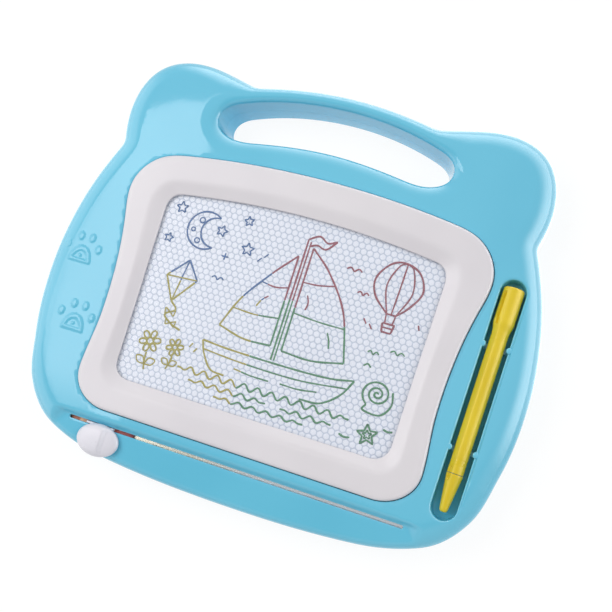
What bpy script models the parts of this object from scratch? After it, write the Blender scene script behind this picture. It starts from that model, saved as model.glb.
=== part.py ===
"""Magnetic drawing board for children, modelled lying on its back.

Metres, +Z up out of the screen, +X to the right of the screen, +Y towards the carrying handle.
The world origin is under the middle of the board's box, on the surface that it lies on.
The pieces are modelled in a drafting frame whose origin is the middle of the bezel,
and one empty carries that frame to the world frame.
"""

import math

import bpy
import numpy as np

# Bezel, the off-white frame round the screen, and its window
BEZEL_WIDTH = 0.2034
BEZEL_LENGTH = 0.1505
BEZEL_WALL = 0.0018
BEZEL_RIM_ROUNDING = 0.0016
BEZEL_LIP_HEIGHT = 0.0006
BEZEL_BAND_DROP = 0.0008
BEZEL_TAB_WIDTH = 0.0090
BEZEL_TAB_THICKNESS = 0.0014
BEZEL_SIDE_WIDTH = 0.0229
BEZEL_END_WIDTH = 0.02005
WINDOW_DROP = 0.0013
WINDOW_DEPTH = 0.0040

# Body margins round the bezel
SIDE_MARGIN = 0.0335
BOTTOM_MARGIN = 0.0276
NECK_WIDTH = 0.0107
OPENING_HEIGHT = 0.0304
BAR_WIDTH = 0.0097
OPENING_WIDTH = 0.1336
OPENING_ROUNDING = 0.0030

# Heights of the body, from the face it lies on
BACK_COVER_HEIGHT = 0.0117
BACK_ROUNDING = 0.0050
SIDE_HEIGHT = 0.0033
EDGE_RISE = 0.0095
EDGE_WIDTH = 0.0100
CROWN_RISE = 0.0008
CROWN_WIDTH = 0.0120
BEZEL_STAND = 0.0017
WALL = 0.0020

# Screen stack, bottom to top
SHELF_THICKNESS = 0.0020
SHELF_WIDTH = 0.0024
SHEET_BORDER = 0.0052
BACK_FILM = 0.0005
CORE_THICKNESS = 0.0016
FRONT_FILM = 0.0005

# Clearances
GAP = 0.0003
FIT = 0.0004
OVERRUN = 0.0030

# Chin below the screen, and the eraser's slot
CHIN_DROP = 0.0030
CHIN_END = 0.0014
CHIN_SPLAY = 0.0140
SLOT_INSET = 0.0085
SLOT_WIDTH = 0.0019
SLOT_OFFSET = 0.0085

# Eraser
RAIL_WIDTH = 0.0030
RAIL_HEIGHT = 0.0030
RAIL_END = 0.0043
UPPER_RAIL_OFFSET = 0.0112
CARRIER_LENGTH = 0.0370
CARRIER_CHEEK = 0.0020
CARRIER_TOP = 0.0013
ARM_WIDTH = 0.0080
ARM_THICKNESS = 0.0021
ARM_SHOE_WIDTH = 0.0140
MAGNET_WIDTH = 0.0060
MAGNET_THICKNESS = 0.0020
MAGNET_BORDER = 0.0030
STEM_WIDTH = 0.0164
KNOB_WIDTH = 0.0241
KNOB_LENGTH = 0.0172
KNOB_HEIGHT = 0.0035
KNOB_SHIFT = 0.0016
KNOB_BRIDGE_THICKNESS = 0.0012
KNOB_FIN_WIDTH = 0.0072
KNOB_FIN_RISE = 0.0017
KNOB_FIN_END = 0.0010
KNOB_CREST_WIDTH = 0.0048

# Pen and its recess
PEN_LENGTH = 0.1164
PEN_HEAD_RADIUS = 0.0054
PEN_HEAD_LENGTH = 0.0178
PEN_SHOULDER = 0.0060
PEN_BARREL_RADIUS = 0.0044
PEN_WAIST_RADIUS = 0.00415
PEN_NOSE_RADIUS = 0.00435
PEN_NOSE_LENGTH = 0.0194
PEN_POINT_RADIUS = 0.0020
PEN_BORE_RADIUS = 0.0024
PEN_ROUNDING = 0.0010
PEN_CAP_LENGTH = 0.0080
PEN_MAGNET_RADIUS = 0.0012
PEN_MAGNET_LENGTH = 0.0060
PEN_GROOVE_WIDTH = 0.0020
PEN_GROOVE_DEPTH = 0.0014
PEN_GROOVE_LENGTH = 0.0165
RECESS_SIDE_CLEARANCE = 0.0011
RECESS_END_CLEARANCE = 0.0041
RECESS_OFFSET = 0.0095
RECESS_LEAN_DEGREES = 1.8
RECESS_RISE = 0.00055
RECESS_DEPTH = 0.0097
RECESS_RIB_LENGTH = 0.0030
NUB_RADIUS = 0.0017
NUB_REACH = 0.0013
NUB_HEIGHT = 0.0025

# Screws and their posts
SCREW_HEAD_RADIUS = 0.0027
SCREW_HEAD_HEIGHT = 0.0017
SCREW_RADIUS = 0.00135
SCREW_LENGTH = 0.0085
SCREW_SEAT = 0.0023
POST_WALL = 0.0016
PEDESTAL_WIDTH = 0.0060

# Raised prints on the left cheek
PRINT_PAD_WIDTH = 0.0140
PRINT_PAD_LENGTH = 0.0096
PRINT_TOE_WIDTH = 0.0040
PRINT_TOE_LENGTH = 0.0056
PRINT_RISE = 0.0006

# Narrowing of the handle's opening from front to back, place of the nubs along the pen,
# and how much of the bezel's width slopes down to the window
OPENING_TAPER_SHARE = 0.05
NUB_SHARE = 0.232
BEZEL_SLOPE_SHARE = 0.18

# Knob, from its foot up: (share of its half sizes, share of its height)
KNOB_SHARES = ((0.92, 0.0), (1.0, 0.2), (0.97, 0.55), (0.86, 0.82), (0.60, 1.0))

# Outlines: knots of (x share, y share, heading in degrees), from bottom centre to top centre.
# X is a share of half the width, Y a share of the length from the bottom.
BODY_SHARES = (
    (0.000, 0.000, 0), (0.533, 0.015, 6.5), (0.769, 0.052, 24), (0.916, 0.138, 61),
    (0.969, 0.246, 76.5), (1.000, 0.423, 90), (0.970, 0.585, 101.5), (0.882, 0.745, 113),
    (0.879, 0.768, 76), (0.897, 0.847, 91.5), (0.818, 0.966, 138), (0.651, 1.000, 179),
    (0.403, 0.973, 194), (0.359, 0.973, 168), (0.000, 0.9965, 180),
)
BODY_STEPS = (3, 3, 4, 3, 3, 3, 3, 3, 2, 4, 4, 3, 2, 4)
BEZEL_SHARES = (
    (0.000, 0.000, 0), (0.728, 0.000, 0), (0.935, 0.124, 90), (0.917, 0.327, 90),
    (0.973, 0.689, 77), (1.000, 0.799, 91), (0.900, 0.925, 143), (0.708, 0.966, 171.5),
    (0.000, 1.000, 180),
)
WINDOW_SHARES = (
    (0.000, 0.000, 0), (0.857, 0.000, 0), (0.972, 0.077, 89), (0.980, 0.331, 89),
    (0.994, 0.693, 89), (1.000, 0.860, 90), (0.967, 0.930, 135), (0.888, 0.953, 172),
    (0.000, 1.000, 180),
)
FRAME_STEPS = (3, 5, 2, 3, 2, 2, 2, 4)
OPENING_SHARES = (
    (0.000, 0.158, 0), (0.599, 0.039, 351), (0.763, 0.000, 0), (1.000, 0.362, 92),
    (0.868, 0.678, 160), (0.000, 1.000, 180),
)
OPENING_STEPS = (3, 2, 5, 3, 4)

# Screws: (x share of the body's half width, y share of its length), each on both sides
SCREW_SHARES = ((0.459, 0.036), (0.884, 0.222), (0.921, 0.510), (0.769, 0.886))

# Prints: centre of the pad as shares of the left margin and of the bezel's length
PRINT_PLACES_SHARES = ((0.512, 0.512), (0.790, 0.268))
TOE_SHARES = ((-0.71, 0.53), (-0.28, 1.10), (0.21, 1.13), (0.60, 0.56))

# Corners of small rounds, of the pen and of the knob
SMALL_ROUND = 12
PEN_ROUND = 16
KNOB_ROUND = 24

COLOURS = {
    "sky_blue": (0.130, 0.500, 0.700),
    "off_white": (0.690, 0.660, 0.680),
    "pale_cell": (0.600, 0.630, 0.700),
    "clear_film": (0.750, 0.780, 0.820),
    "yellow": (0.850, 0.620, 0.030),
    "brown_red": (0.230, 0.060, 0.040),
    "cream": (0.740, 0.720, 0.650),
    "ferrite": (0.060, 0.050, 0.050),
    "steel": (0.500, 0.500, 0.510),
}

# Sizes that follow from the ones above
BODY_WIDTH = BEZEL_WIDTH + 2 * SIDE_MARGIN
BODY_BOTTOM = -BEZEL_LENGTH / 2 - BOTTOM_MARGIN
BODY_TOP = BEZEL_LENGTH / 2 + NECK_WIDTH + OPENING_HEIGHT + BAR_WIDTH
BODY_LENGTH = BODY_TOP - BODY_BOTTOM
PARTING = BACK_COVER_HEIGHT + GAP
SIDE_TOP = PARTING + SIDE_HEIGHT
FACE = SIDE_TOP + EDGE_RISE
CROWN = FACE + CROWN_RISE
BEZEL_TOP = CROWN + BEZEL_STAND
WINDOW_WIDTH = BEZEL_WIDTH - 2 * BEZEL_SIDE_WIDTH
WINDOW_LENGTH = BEZEL_LENGTH - 2 * BEZEL_END_WIDTH
WINDOW_BOTTOM = -WINDOW_LENGTH / 2 - WINDOW_DROP
FILM_TOP = BEZEL_TOP - WINDOW_DEPTH
SHELF_TOP = FILM_TOP - FRONT_FILM - CORE_THICKNESS - BACK_FILM - 3 * GAP
SHELF_BOTTOM = SHELF_TOP - SHELF_THICKNESS
SLOT_LENGTH = BEZEL_WIDTH - 2 * SLOT_INSET
CHIN_WIDTH = SLOT_LENGTH + 2 * CHIN_END
CHIN = FACE - CHIN_DROP
CHIN_UNDER = CHIN - WALL
SLOT_Y = -BEZEL_LENGTH / 2 - SLOT_OFFSET
CARRIER_Z = CHIN_UNDER - GAP
RAIL_TOP = CARRIER_Z - CARRIER_TOP - GAP
RAIL_UNDER = RAIL_TOP - RAIL_HEIGHT
ARM_TOP = SHELF_TOP - GAP - MAGNET_THICKNESS - GAP
ARM_UNDER = ARM_TOP - ARM_THICKNESS
ERASER_X = -(SLOT_LENGTH - CARRIER_LENGTH) / 2 + GAP
UPPER_RAIL_Y = BEZEL_LENGTH / 2 - UPPER_RAIL_OFFSET
PEN_X = BEZEL_WIDTH / 2 + RECESS_OFFSET
RECESS_LENGTH = PEN_LENGTH + 2 * RECESS_END_CLEARANCE
PEN_Y = -BEZEL_LENGTH / 2 + RECESS_RISE + RECESS_LENGTH / 2
RECESS_FLOOR = CROWN - RECESS_DEPTH
PEN_Z = RECESS_FLOOR + GAP + PEN_HEAD_RADIUS
RECESS_RADIUS = PEN_HEAD_RADIUS + RECESS_SIDE_CLEARANCE
LEAN = math.radians(RECESS_LEAN_DEGREES)
WORLD_SHIFT = -(BODY_BOTTOM + BODY_TOP) / 2


def clear_scene():
    """Remove whatever the file holds."""
    for item in list(bpy.data.objects):
        bpy.data.objects.remove(item, do_unlink=True)


def material(name, colour, roughness, metallic=0.0):
    """A Principled BSDF material of one colour."""
    made = bpy.data.materials.new(name)
    made.use_nodes = True
    shader = made.node_tree.nodes["Principled BSDF"]
    shader.inputs["Base Color"].default_value = (*COLOURS[colour], 1.0)
    shader.inputs["Roughness"].default_value = roughness
    shader.inputs["Metallic"].default_value = metallic
    return made


def add_object(name, points, faces, colour=None, roughness=0.35, metallic=0.0):
    """Make an object from points and faces; one without a colour is a hidden cutter."""
    mesh = bpy.data.meshes.new(name)
    mesh.from_pydata([tuple(map(float, p)) for p in points], [], [list(map(int, f)) for f in faces])
    mesh.validate()
    item = bpy.data.objects.new(name, mesh)
    bpy.context.collection.objects.link(item)
    item.parent = bpy.data.objects["drafting_frame"]
    if colour is None:
        item.hide_render = True
        item.display_type = "WIRE"
    else:
        mesh.materials.append(material(name + "_finish", colour, roughness, metallic))
    return item


def smooth_shading(item, angle_degrees=40):
    """Shade a round piece smooth, with its edges kept sharp."""
    item.data.shade_smooth()
    item.data.set_sharp_from_angle(angle=math.radians(angle_degrees))


def boolean(item, other, operation="DIFFERENCE"):
    """Cut one object with another, or join them."""
    modifier = item.modifiers.new(operation.lower(), "BOOLEAN")
    modifier.operation = operation
    modifier.solver = "EXACT"
    modifier.object = other


def stretch_points(start, end, steps):
    """Points of one stretch between two knots: a cubic that turns about as an arc does."""
    a, b = np.array(start[:2]), np.array(end[:2])
    turn = math.radians((end[2] - start[2] + 180) % 360 - 180)
    chord = np.linalg.norm(b - a)
    reach = chord / 3 if abs(turn) < 1e-6 else chord * 2 / 3 * math.tan(turn / 4) / math.sin(turn / 2)
    out, back = math.radians(start[2]), math.radians(end[2])
    c = a + reach * np.array([math.cos(out), math.sin(out)])
    d = b - reach * np.array([math.cos(back), math.sin(back)])
    t = np.arange(steps)[:, None] / steps
    return (1 - t) ** 3 * a + 3 * (1 - t) ** 2 * t * c + 3 * (1 - t) * t**2 * d + t**3 * b


def closed_outline(shares, steps, half_width, bottom, length):
    """A closed outline, anticlockwise, from the knots of its right half."""
    knots = [(x * half_width, bottom + y * length, heading) for x, y, heading in shares]
    parts = [stretch_points(a, b, n) for a, b, n in zip(knots, knots[1:], steps)]
    right = np.vstack(parts + [np.array([knots[-1][:2]])])
    left = right[-2:0:-1] * [-1, 1]
    return np.vstack([right, left])


def inset(outline, distance):
    """Move each point of an anticlockwise outline inwards; a negative distance grows it."""
    before = outline - np.roll(outline, 1, 0)
    after = np.roll(outline, -1, 0) - outline
    before /= np.linalg.norm(before, axis=1)[:, None]
    after /= np.linalg.norm(after, axis=1)[:, None]
    along = before + after
    along /= np.linalg.norm(along, axis=1)[:, None]
    inward = np.c_[-along[:, 1], along[:, 0]]
    miter = np.clip((along * after).sum(1), 0.5, 1)[:, None]
    return outline + inward * distance / miter


def ring(outline, height):
    """An outline at one height."""
    return np.c_[outline, np.full(len(outline), height)]


def loft(name, rings, closed=False, **finish):
    """Join rings of equal count, bottom to top, with caps, or round and back to the first."""
    count = len(rings[0])
    points = np.vstack(rings)
    faces = []
    for i in range(len(rings) if closed else len(rings) - 1):
        low, high = i * count, (i + 1) % len(rings) * count
        for j in range(count):
            k = (j + 1) % count
            faces.append((low + j, low + k, high + k))
            faces.append((low + j, high + k, high + j))
    if not closed:
        faces.append(tuple(range(count))[::-1])
        faces.append(tuple(range((len(rings) - 1) * count, len(rings) * count)))
    return add_object(name, points, faces, **finish)


def box(name, low, high, **finish):
    """A box between two corners."""
    (x0, y0, z0), (x1, y1, z1) = low, high
    outline = np.array([(x0, y0), (x1, y0), (x1, y1), (x0, y1)])
    return loft(name, [ring(outline, z0), ring(outline, z1)], **finish)


def ellipse(x, y, half_x, half_y, count=SMALL_ROUND):
    """An outline with the given half sizes round a centre."""
    angle = np.arange(count) * 2 * math.pi / count
    return np.c_[x + half_x * np.cos(angle), y + half_y * np.sin(angle)]


def circle(x, y, radius):
    """A round outline."""
    return ellipse(x, y, radius, radius)


def post(name, x, y, radius, low, high, **finish):
    """An upright round post, or the cutter of a round hole."""
    outline = circle(x, y, radius)
    return loft(name, [ring(outline, low), ring(outline, high)], **finish)


def rounded_box_outline(half_x, low_y, high_y, radius, steps=3):
    """A rectangle with round corners."""
    angle = np.radians(np.linspace(0, 90, steps + 1))
    places = ((half_x, low_y), (half_x, high_y), (-half_x, high_y), (-half_x, low_y))
    corners = []
    for turn, (x, y) in zip((-90, 0, 90, 180), places):
        inward_x = x - math.copysign(radius, x)
        inward_y = y + radius if y == low_y else y - radius
        direction = angle + math.radians(turn)
        corners.append(np.c_[inward_x + radius * np.cos(direction), inward_y + radius * np.sin(direction)])
    return np.vstack(corners)


BODY = closed_outline(BODY_SHARES, BODY_STEPS, BODY_WIDTH / 2, BODY_BOTTOM, BODY_LENGTH)
BEZEL = closed_outline(BEZEL_SHARES, FRAME_STEPS, BEZEL_WIDTH / 2, -BEZEL_LENGTH / 2, BEZEL_LENGTH)
WINDOW = closed_outline(WINDOW_SHARES, FRAME_STEPS, WINDOW_WIDTH / 2, WINDOW_BOTTOM, WINDOW_LENGTH)
OPENING_BOTTOM = BEZEL_LENGTH / 2 + NECK_WIDTH
OPENING = closed_outline(OPENING_SHARES, OPENING_STEPS, OPENING_WIDTH / 2, OPENING_BOTTOM, OPENING_HEIGHT)
SCREW_PLACES = [
    (side * x * BODY_WIDTH / 2, BODY_BOTTOM + y * BODY_LENGTH) for x, y in SCREW_SHARES for side in (-1, 1)
]


def edge_depth(x, y):
    """Distance from a place on the face to the body's outline."""
    a, b = BODY, np.roll(BODY, -1, 0)
    along = b - a
    t = np.clip(((np.array([x, y]) - a) * along).sum(1) / (along**2).sum(1), 0, 1)
    return float(np.linalg.norm(a + along * t[:, None] - [x, y], axis=1).min())


def face_height(x, y):
    """Height of the front face at a place on it."""
    depth = edge_depth(x, y)
    if depth < EDGE_WIDTH:
        return SIDE_TOP + EDGE_RISE * math.sqrt(1 - (1 - depth / EDGE_WIDTH) ** 2)
    return FACE + CROWN_RISE * min((depth - EDGE_WIDTH) / CROWN_WIDTH, 1)


def front_rings(wall):
    """Rings of the front shell: side, rounded edge and crowned face, drawn in by a wall."""
    start = PARTING - (OVERRUN if wall else 0)
    rings = [ring(inset(BODY, wall), start), ring(inset(BODY, wall), SIDE_TOP)]
    for degrees in (22, 44, 66, 90):
        angle = math.radians(degrees)
        draw = wall + (EDGE_WIDTH - wall) * (1 - math.cos(angle))
        rings.append(ring(inset(BODY, draw), SIDE_TOP + (EDGE_RISE - wall) * math.sin(angle)))
    rings.append(ring(inset(BODY, EDGE_WIDTH + CROWN_WIDTH), CROWN - wall))
    return rings


def back_rings(wall):
    """Rings of the back shell: flat back, rounded edge and side, drawn in by a wall."""
    rings = []
    for degrees in (0, 30, 60, 90):
        angle = math.radians(degrees)
        draw = wall + (BACK_ROUNDING - wall) * (1 - math.sin(angle))
        height = wall + (BACK_ROUNDING - wall) * (1 - math.cos(angle))
        rings.append(ring(inset(BODY, draw), height))
    rings.append(ring(inset(BODY, wall), BACK_COVER_HEIGHT + (OVERRUN if wall else 0)))
    return rings


def opening_ring(height, flare):
    """The opening's outline at a height: a little narrower towards the back, and wider by a flare."""
    narrow = 1 - OPENING_TAPER_SHARE * (CROWN - height) / CROWN
    return ring(inset(OPENING, -flare) * [narrow, 1], height)


def opening_cutter(name, grow, front):
    """The handle's opening, flared where it meets the front or the back face."""
    if grow:
        rings = [opening_ring(height, grow) for height in (-OVERRUN, BEZEL_TOP + OVERRUN)]
        return loft(name, rings)
    flares = []
    for degrees in (90, 60, 30, 0):
        angle = math.radians(degrees)
        flares.append((OPENING_ROUNDING * (1 - math.sin(angle)), OPENING_ROUNDING * (1 - math.cos(angle))))
    if front:
        rings = [opening_ring(PARTING - OVERRUN, 0)]
        rings += [opening_ring(FACE - rise, flare) for rise, flare in flares[::-1]]
        rings.append(opening_ring(CROWN + OVERRUN, OPENING_ROUNDING))
    else:
        rings = [opening_ring(-OVERRUN, OPENING_ROUNDING)]
        rings += [opening_ring(rise, flare) for rise, flare in flares]
        rings.append(opening_ring(BACK_COVER_HEIGHT + OVERRUN, 0))
    return loft(name, rings)


def chin_cutter(name, grow):
    """The lowered chin below the slot: a slab with splayed ends."""
    top = SLOT_Y + SLOT_WIDTH / 2 + grow
    low = BODY_BOTTOM - OVERRUN
    half = CHIN_WIDTH / 2 + grow
    splay = CHIN_SPLAY * (top - low) / (BOTTOM_MARGIN - SLOT_OFFSET)
    outline = np.array([(-half - splay, low), (half + splay, low), (half, top), (-half, top)])
    return loft(name, [ring(outline, CHIN - grow), ring(outline, BEZEL_TOP + OVERRUN)])


def recess_outline(grow):
    """The round-ended outline of the pen's recess, leaning as the pen does."""
    angle = np.radians(np.linspace(-90, 90, SMALL_ROUND // 2 + 2))
    radius = RECESS_RADIUS + grow
    half = RECESS_LENGTH / 2 - RECESS_RADIUS
    top = np.c_[radius * np.cos(angle + math.pi / 2), half + radius * np.sin(angle + math.pi / 2)]
    outline = np.vstack([top, -top])
    return lean_points(outline)


def lean_points(outline):
    """Turn points in the pen's own frame to its lean and carry them to its place."""
    cos, sin = math.cos(LEAN), math.sin(LEAN)
    x = outline[:, 0] * cos + outline[:, 1] * sin + PEN_X
    y = -outline[:, 0] * sin + outline[:, 1] * cos + PEN_Y
    return np.c_[x, y]


def recess_cutter(name, grow):
    """The pen's recess; a grown one leaves the recess its wall and floor."""
    outline = recess_outline(grow)
    return loft(name, [ring(outline, RECESS_FLOOR - grow), ring(outline, CROWN + OVERRUN)])


def well_cutter(name, grow, low):
    """The well that the bezel drops into."""
    outline = inset(BEZEL, -FIT - grow)
    return loft(name, [ring(outline, low), ring(outline, CROWN + OVERRUN)])


def tab_places():
    """Places of the bezel's snap tabs: x, y and half sizes along X and Y."""
    thick = BEZEL_TAB_THICKNESS / 2
    deep = BEZEL_WALL / 2
    y = BEZEL_LENGTH / 2 - deep
    places = [(x, -y, BEZEL_TAB_WIDTH / 2, thick) for x in (-BEZEL_WIDTH / 4, BEZEL_WIDTH / 4)]
    waist = BEZEL_SHARES[3][0] * BEZEL_WIDTH / 2 - deep
    waist_y = BEZEL_SHARES[3][1] * BEZEL_LENGTH - BEZEL_LENGTH / 2
    places += [(side * waist, waist_y, thick, BEZEL_TAB_WIDTH / 2) for side in (-1, 1)]
    places.append((0.0, y, BEZEL_TAB_WIDTH / 2, thick))
    return places


def tab_box(name, place, grow, low, high):
    """One snap tab, or the notch in the shelf that it goes through."""
    x, y = place[:2]
    half_x, half_y = place[2] + grow, place[3] + grow
    return box(name, (x - half_x, y - half_y, low), (x + half_x, y + half_y, high))


def print_bumps(casing):
    """Join the raised four-toed prints to the left cheek."""
    for number, (x_share, y_share) in enumerate(PRINT_PLACES_SHARES):
        x = -BODY_WIDTH / 2 + x_share * SIDE_MARGIN
        y = y_share * BEZEL_LENGTH - BEZEL_LENGTH / 2
        shapes = [(x, y, PRINT_PAD_WIDTH / 2, PRINT_PAD_LENGTH / 2)]
        for toe_x, toe_y in TOE_SHARES:
            place = (x + toe_x * PRINT_PAD_WIDTH, y + toe_y * PRINT_PAD_LENGTH)
            shapes.append((*place, PRINT_TOE_WIDTH / 2, PRINT_TOE_LENGTH / 2))
        for index, (cx, cy, half_x, half_y) in enumerate(shapes):
            height = face_height(cx, cy)
            foot = ellipse(cx, cy, half_x, half_y)
            crest = ellipse(cx, cy, half_x - PRINT_RISE, half_y - PRINT_RISE)
            rings = [
                ring(foot, height - WALL / 2),
                ring(foot, height + PRINT_RISE / 2),
                ring(crest, height + PRINT_RISE),
            ]
            boolean(casing, loft(f"print_{number}_{index}", rings), "UNION")


def build_front_casing():
    """The blue front shell, with its recesses, shelf, slot and screw posts."""
    casing = loft("front_casing", front_rings(0), colour="sky_blue", roughness=0.2)
    hollow = loft("front_hollow", front_rings(WALL))
    boolean(hollow, opening_cutter("opening_wall", WALL, True))
    boolean(hollow, recess_cutter("recess_wall", WALL))
    boolean(hollow, chin_cutter("chin_wall", WALL))
    boolean(hollow, well_cutter("well_wall", WALL, SHELF_BOTTOM))
    for number, (x, y) in enumerate(SCREW_PLACES):
        radius = SCREW_RADIUS + GAP + POST_WALL
        boolean(hollow, post(f"front_post_{number}", x, y, radius, PARTING - 2 * OVERRUN, BEZEL_TOP))
    boolean(casing, hollow)
    boolean(casing, opening_cutter("front_opening", 0, True))
    boolean(casing, recess_cutter("recess", 0))
    boolean(casing, chin_cutter("chin", 0))
    boolean(casing, well_cutter("well", 0, SHELF_TOP))
    half_x = WINDOW_WIDTH / 2 + SHELF_WIDTH
    low_y, high_y = WINDOW_BOTTOM - SHELF_WIDTH, WINDOW_BOTTOM + WINDOW_LENGTH + SHELF_WIDTH
    hole = rounded_box_outline(half_x, low_y, high_y, SHELF_WIDTH)
    boolean(casing, loft("shelf_hole", [ring(hole, PARTING), ring(hole, SHELF_TOP + OVERRUN)]))
    half_x, half_y = SLOT_LENGTH / 2, SLOT_WIDTH / 2
    slot = box("slot", (-half_x, SLOT_Y - half_y, PARTING), (half_x, SLOT_Y + half_y, CHIN + WALL))
    boolean(casing, slot)
    for number, place in enumerate(tab_places()):
        boolean(casing, tab_box(f"tab_notch_{number}", place, FIT, PARTING, SHELF_TOP + OVERRUN))
    for number, (x, y) in enumerate(SCREW_PLACES):
        depth = SCREW_LENGTH - SCREW_SEAT + 2 * GAP
        boolean(casing, post(f"pilot_{number}", x, y, SCREW_RADIUS + GAP, PARTING - OVERRUN, PARTING + depth))
    add_pen_supports(casing)
    print_bumps(casing)
    return casing


def add_pen_supports(casing):
    """Join the ribs under the pen and the nubs that hold it to the recess."""
    nub_rise = PEN_LENGTH * NUB_SHARE
    half_x, half_y = RECESS_RADIUS + WALL / 2, RECESS_RIB_LENGTH / 2
    block = np.array([(-half_x, -half_y), (half_x, -half_y), (half_x, half_y), (-half_x, half_y)])
    for number, along in enumerate((-nub_rise, nub_rise)):
        outline = lean_points(block + [0, along])
        rib_top = PEN_Z - PEN_BARREL_RADIUS - GAP
        rib = loft(f"pen_rib_{number}", [ring(outline, RECESS_FLOOR - WALL / 2), ring(outline, rib_top)])
        boolean(casing, rib, "UNION")
        for side in (-1, 1):
            centre = lean_points(np.array([[side * (RECESS_RADIUS + NUB_RADIUS - NUB_REACH), along]]))[0]
            nub = post(f"nub_{number}_{side}", *centre, NUB_RADIUS, FACE - NUB_HEIGHT, FACE)
            boolean(casing, nub, "UNION")


def build_back_cover():
    """The blue back shell, with its screw wells and the pedestals of the rails."""
    cover = loft("back_cover", back_rings(0), colour="sky_blue", roughness=0.25)
    hollow = loft("back_hollow", back_rings(WALL))
    boolean(hollow, opening_cutter("opening_back_wall", WALL, False))
    well_radius, hole_radius = SCREW_HEAD_RADIUS + GAP, SCREW_RADIUS + GAP
    top = BACK_COVER_HEIGHT + 2 * OVERRUN
    for number, (x, y) in enumerate(SCREW_PLACES):
        boolean(hollow, post(f"well_post_{number}", x, y, well_radius + POST_WALL, 0, top))
    boolean(cover, hollow)
    boolean(cover, opening_cutter("back_opening", 0, False))
    seat = BACK_COVER_HEIGHT - SCREW_SEAT
    for number, (x, y) in enumerate(SCREW_PLACES):
        boolean(cover, post(f"screw_well_{number}", x, y, well_radius, -OVERRUN, seat))
        boolean(cover, post(f"screw_hole_{number}", x, y, hole_radius, -OVERRUN, top))
    half = PEDESTAL_WIDTH / 2
    rails = (("lower", SLOT_Y, RAIL_UNDER), ("upper", UPPER_RAIL_Y, ARM_UNDER - GAP - RAIL_HEIGHT))
    for name, y, top in rails:
        for side in (-1, 1):
            x = side * (SLOT_LENGTH / 2 + RAIL_END - half)
            low, high = (x - half, y - half, WALL / 2), (x + half, y + half, top - GAP)
            boolean(cover, box(f"pedestal_{name}_{side}", low, high), "UNION")
    return cover


def build_bezel():
    """The off-white frame: an upturned channel round the window, with snap tabs below."""
    top, under = BEZEL_TOP, BEZEL_TOP - BEZEL_WALL
    lip = FILM_TOP + GAP
    band = inset(WINDOW, -(BEZEL_WIDTH - WINDOW_WIDTH) * BEZEL_SLOPE_SHARE)
    low = SHELF_TOP + GAP
    corner = BEZEL_RIM_ROUNDING * (1 - math.cos(math.radians(45)))
    rings = [
        ring(BEZEL, low),
        ring(BEZEL, top - BEZEL_RIM_ROUNDING),
        ring(inset(BEZEL, corner), top - corner),
        ring(inset(BEZEL, BEZEL_RIM_ROUNDING), top),
        ring(band, top - BEZEL_BAND_DROP),
        ring(inset(WINDOW, -BEZEL_LIP_HEIGHT), lip + 2 * BEZEL_LIP_HEIGHT),
        ring(WINDOW, lip + BEZEL_LIP_HEIGHT),
        ring(WINDOW, lip),
        ring(inset(WINDOW, -BEZEL_WALL), lip),
        ring(band, under - BEZEL_BAND_DROP),
        ring(inset(BEZEL, BEZEL_WALL), under),
        ring(inset(BEZEL, BEZEL_WALL), low),
    ]
    bezel = loft("bezel", rings, closed=True, colour="off_white", roughness=0.35)
    for number, place in enumerate(tab_places()):
        tab = tab_box(f"tab_{number}", place, 0, SHELF_BOTTOM - GAP, SHELF_TOP + BEZEL_WALL)
        boolean(bezel, tab, "UNION")
    return bezel


def build_screen():
    """The screen: a honeycomb core between two clear films, lying on the casing's shelf."""
    half = WINDOW_WIDTH / 2 + SHEET_BORDER
    low, high = WINDOW_BOTTOM - SHEET_BORDER, WINDOW_BOTTOM + WINDOW_LENGTH + SHEET_BORDER
    outline = rounded_box_outline(half, low, high, SHEET_BORDER)
    height = SHELF_TOP + GAP
    layers = (
        ("screen_back_film", BACK_FILM, "clear_film"),
        ("screen_honeycomb_core", CORE_THICKNESS, "pale_cell"),
        ("screen_front_film", FRONT_FILM, "clear_film"),
    )
    for name, thickness, colour in layers:
        loft(name, [ring(outline, height), ring(outline, height + thickness)], colour=colour, roughness=0.3)
        height += thickness + GAP


def build_rails():
    """The two rails that the eraser slides on."""
    half = SLOT_LENGTH / 2 + RAIL_END
    rails = (("lower_rail", SLOT_Y, RAIL_TOP), ("upper_rail", UPPER_RAIL_Y, ARM_UNDER - GAP))
    for name, y, top in rails:
        low = (-half, y - RAIL_WIDTH / 2, top - RAIL_HEIGHT)
        box(name, low, (half, y + RAIL_WIDTH / 2, top), colour="cream", roughness=0.4)


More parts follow.
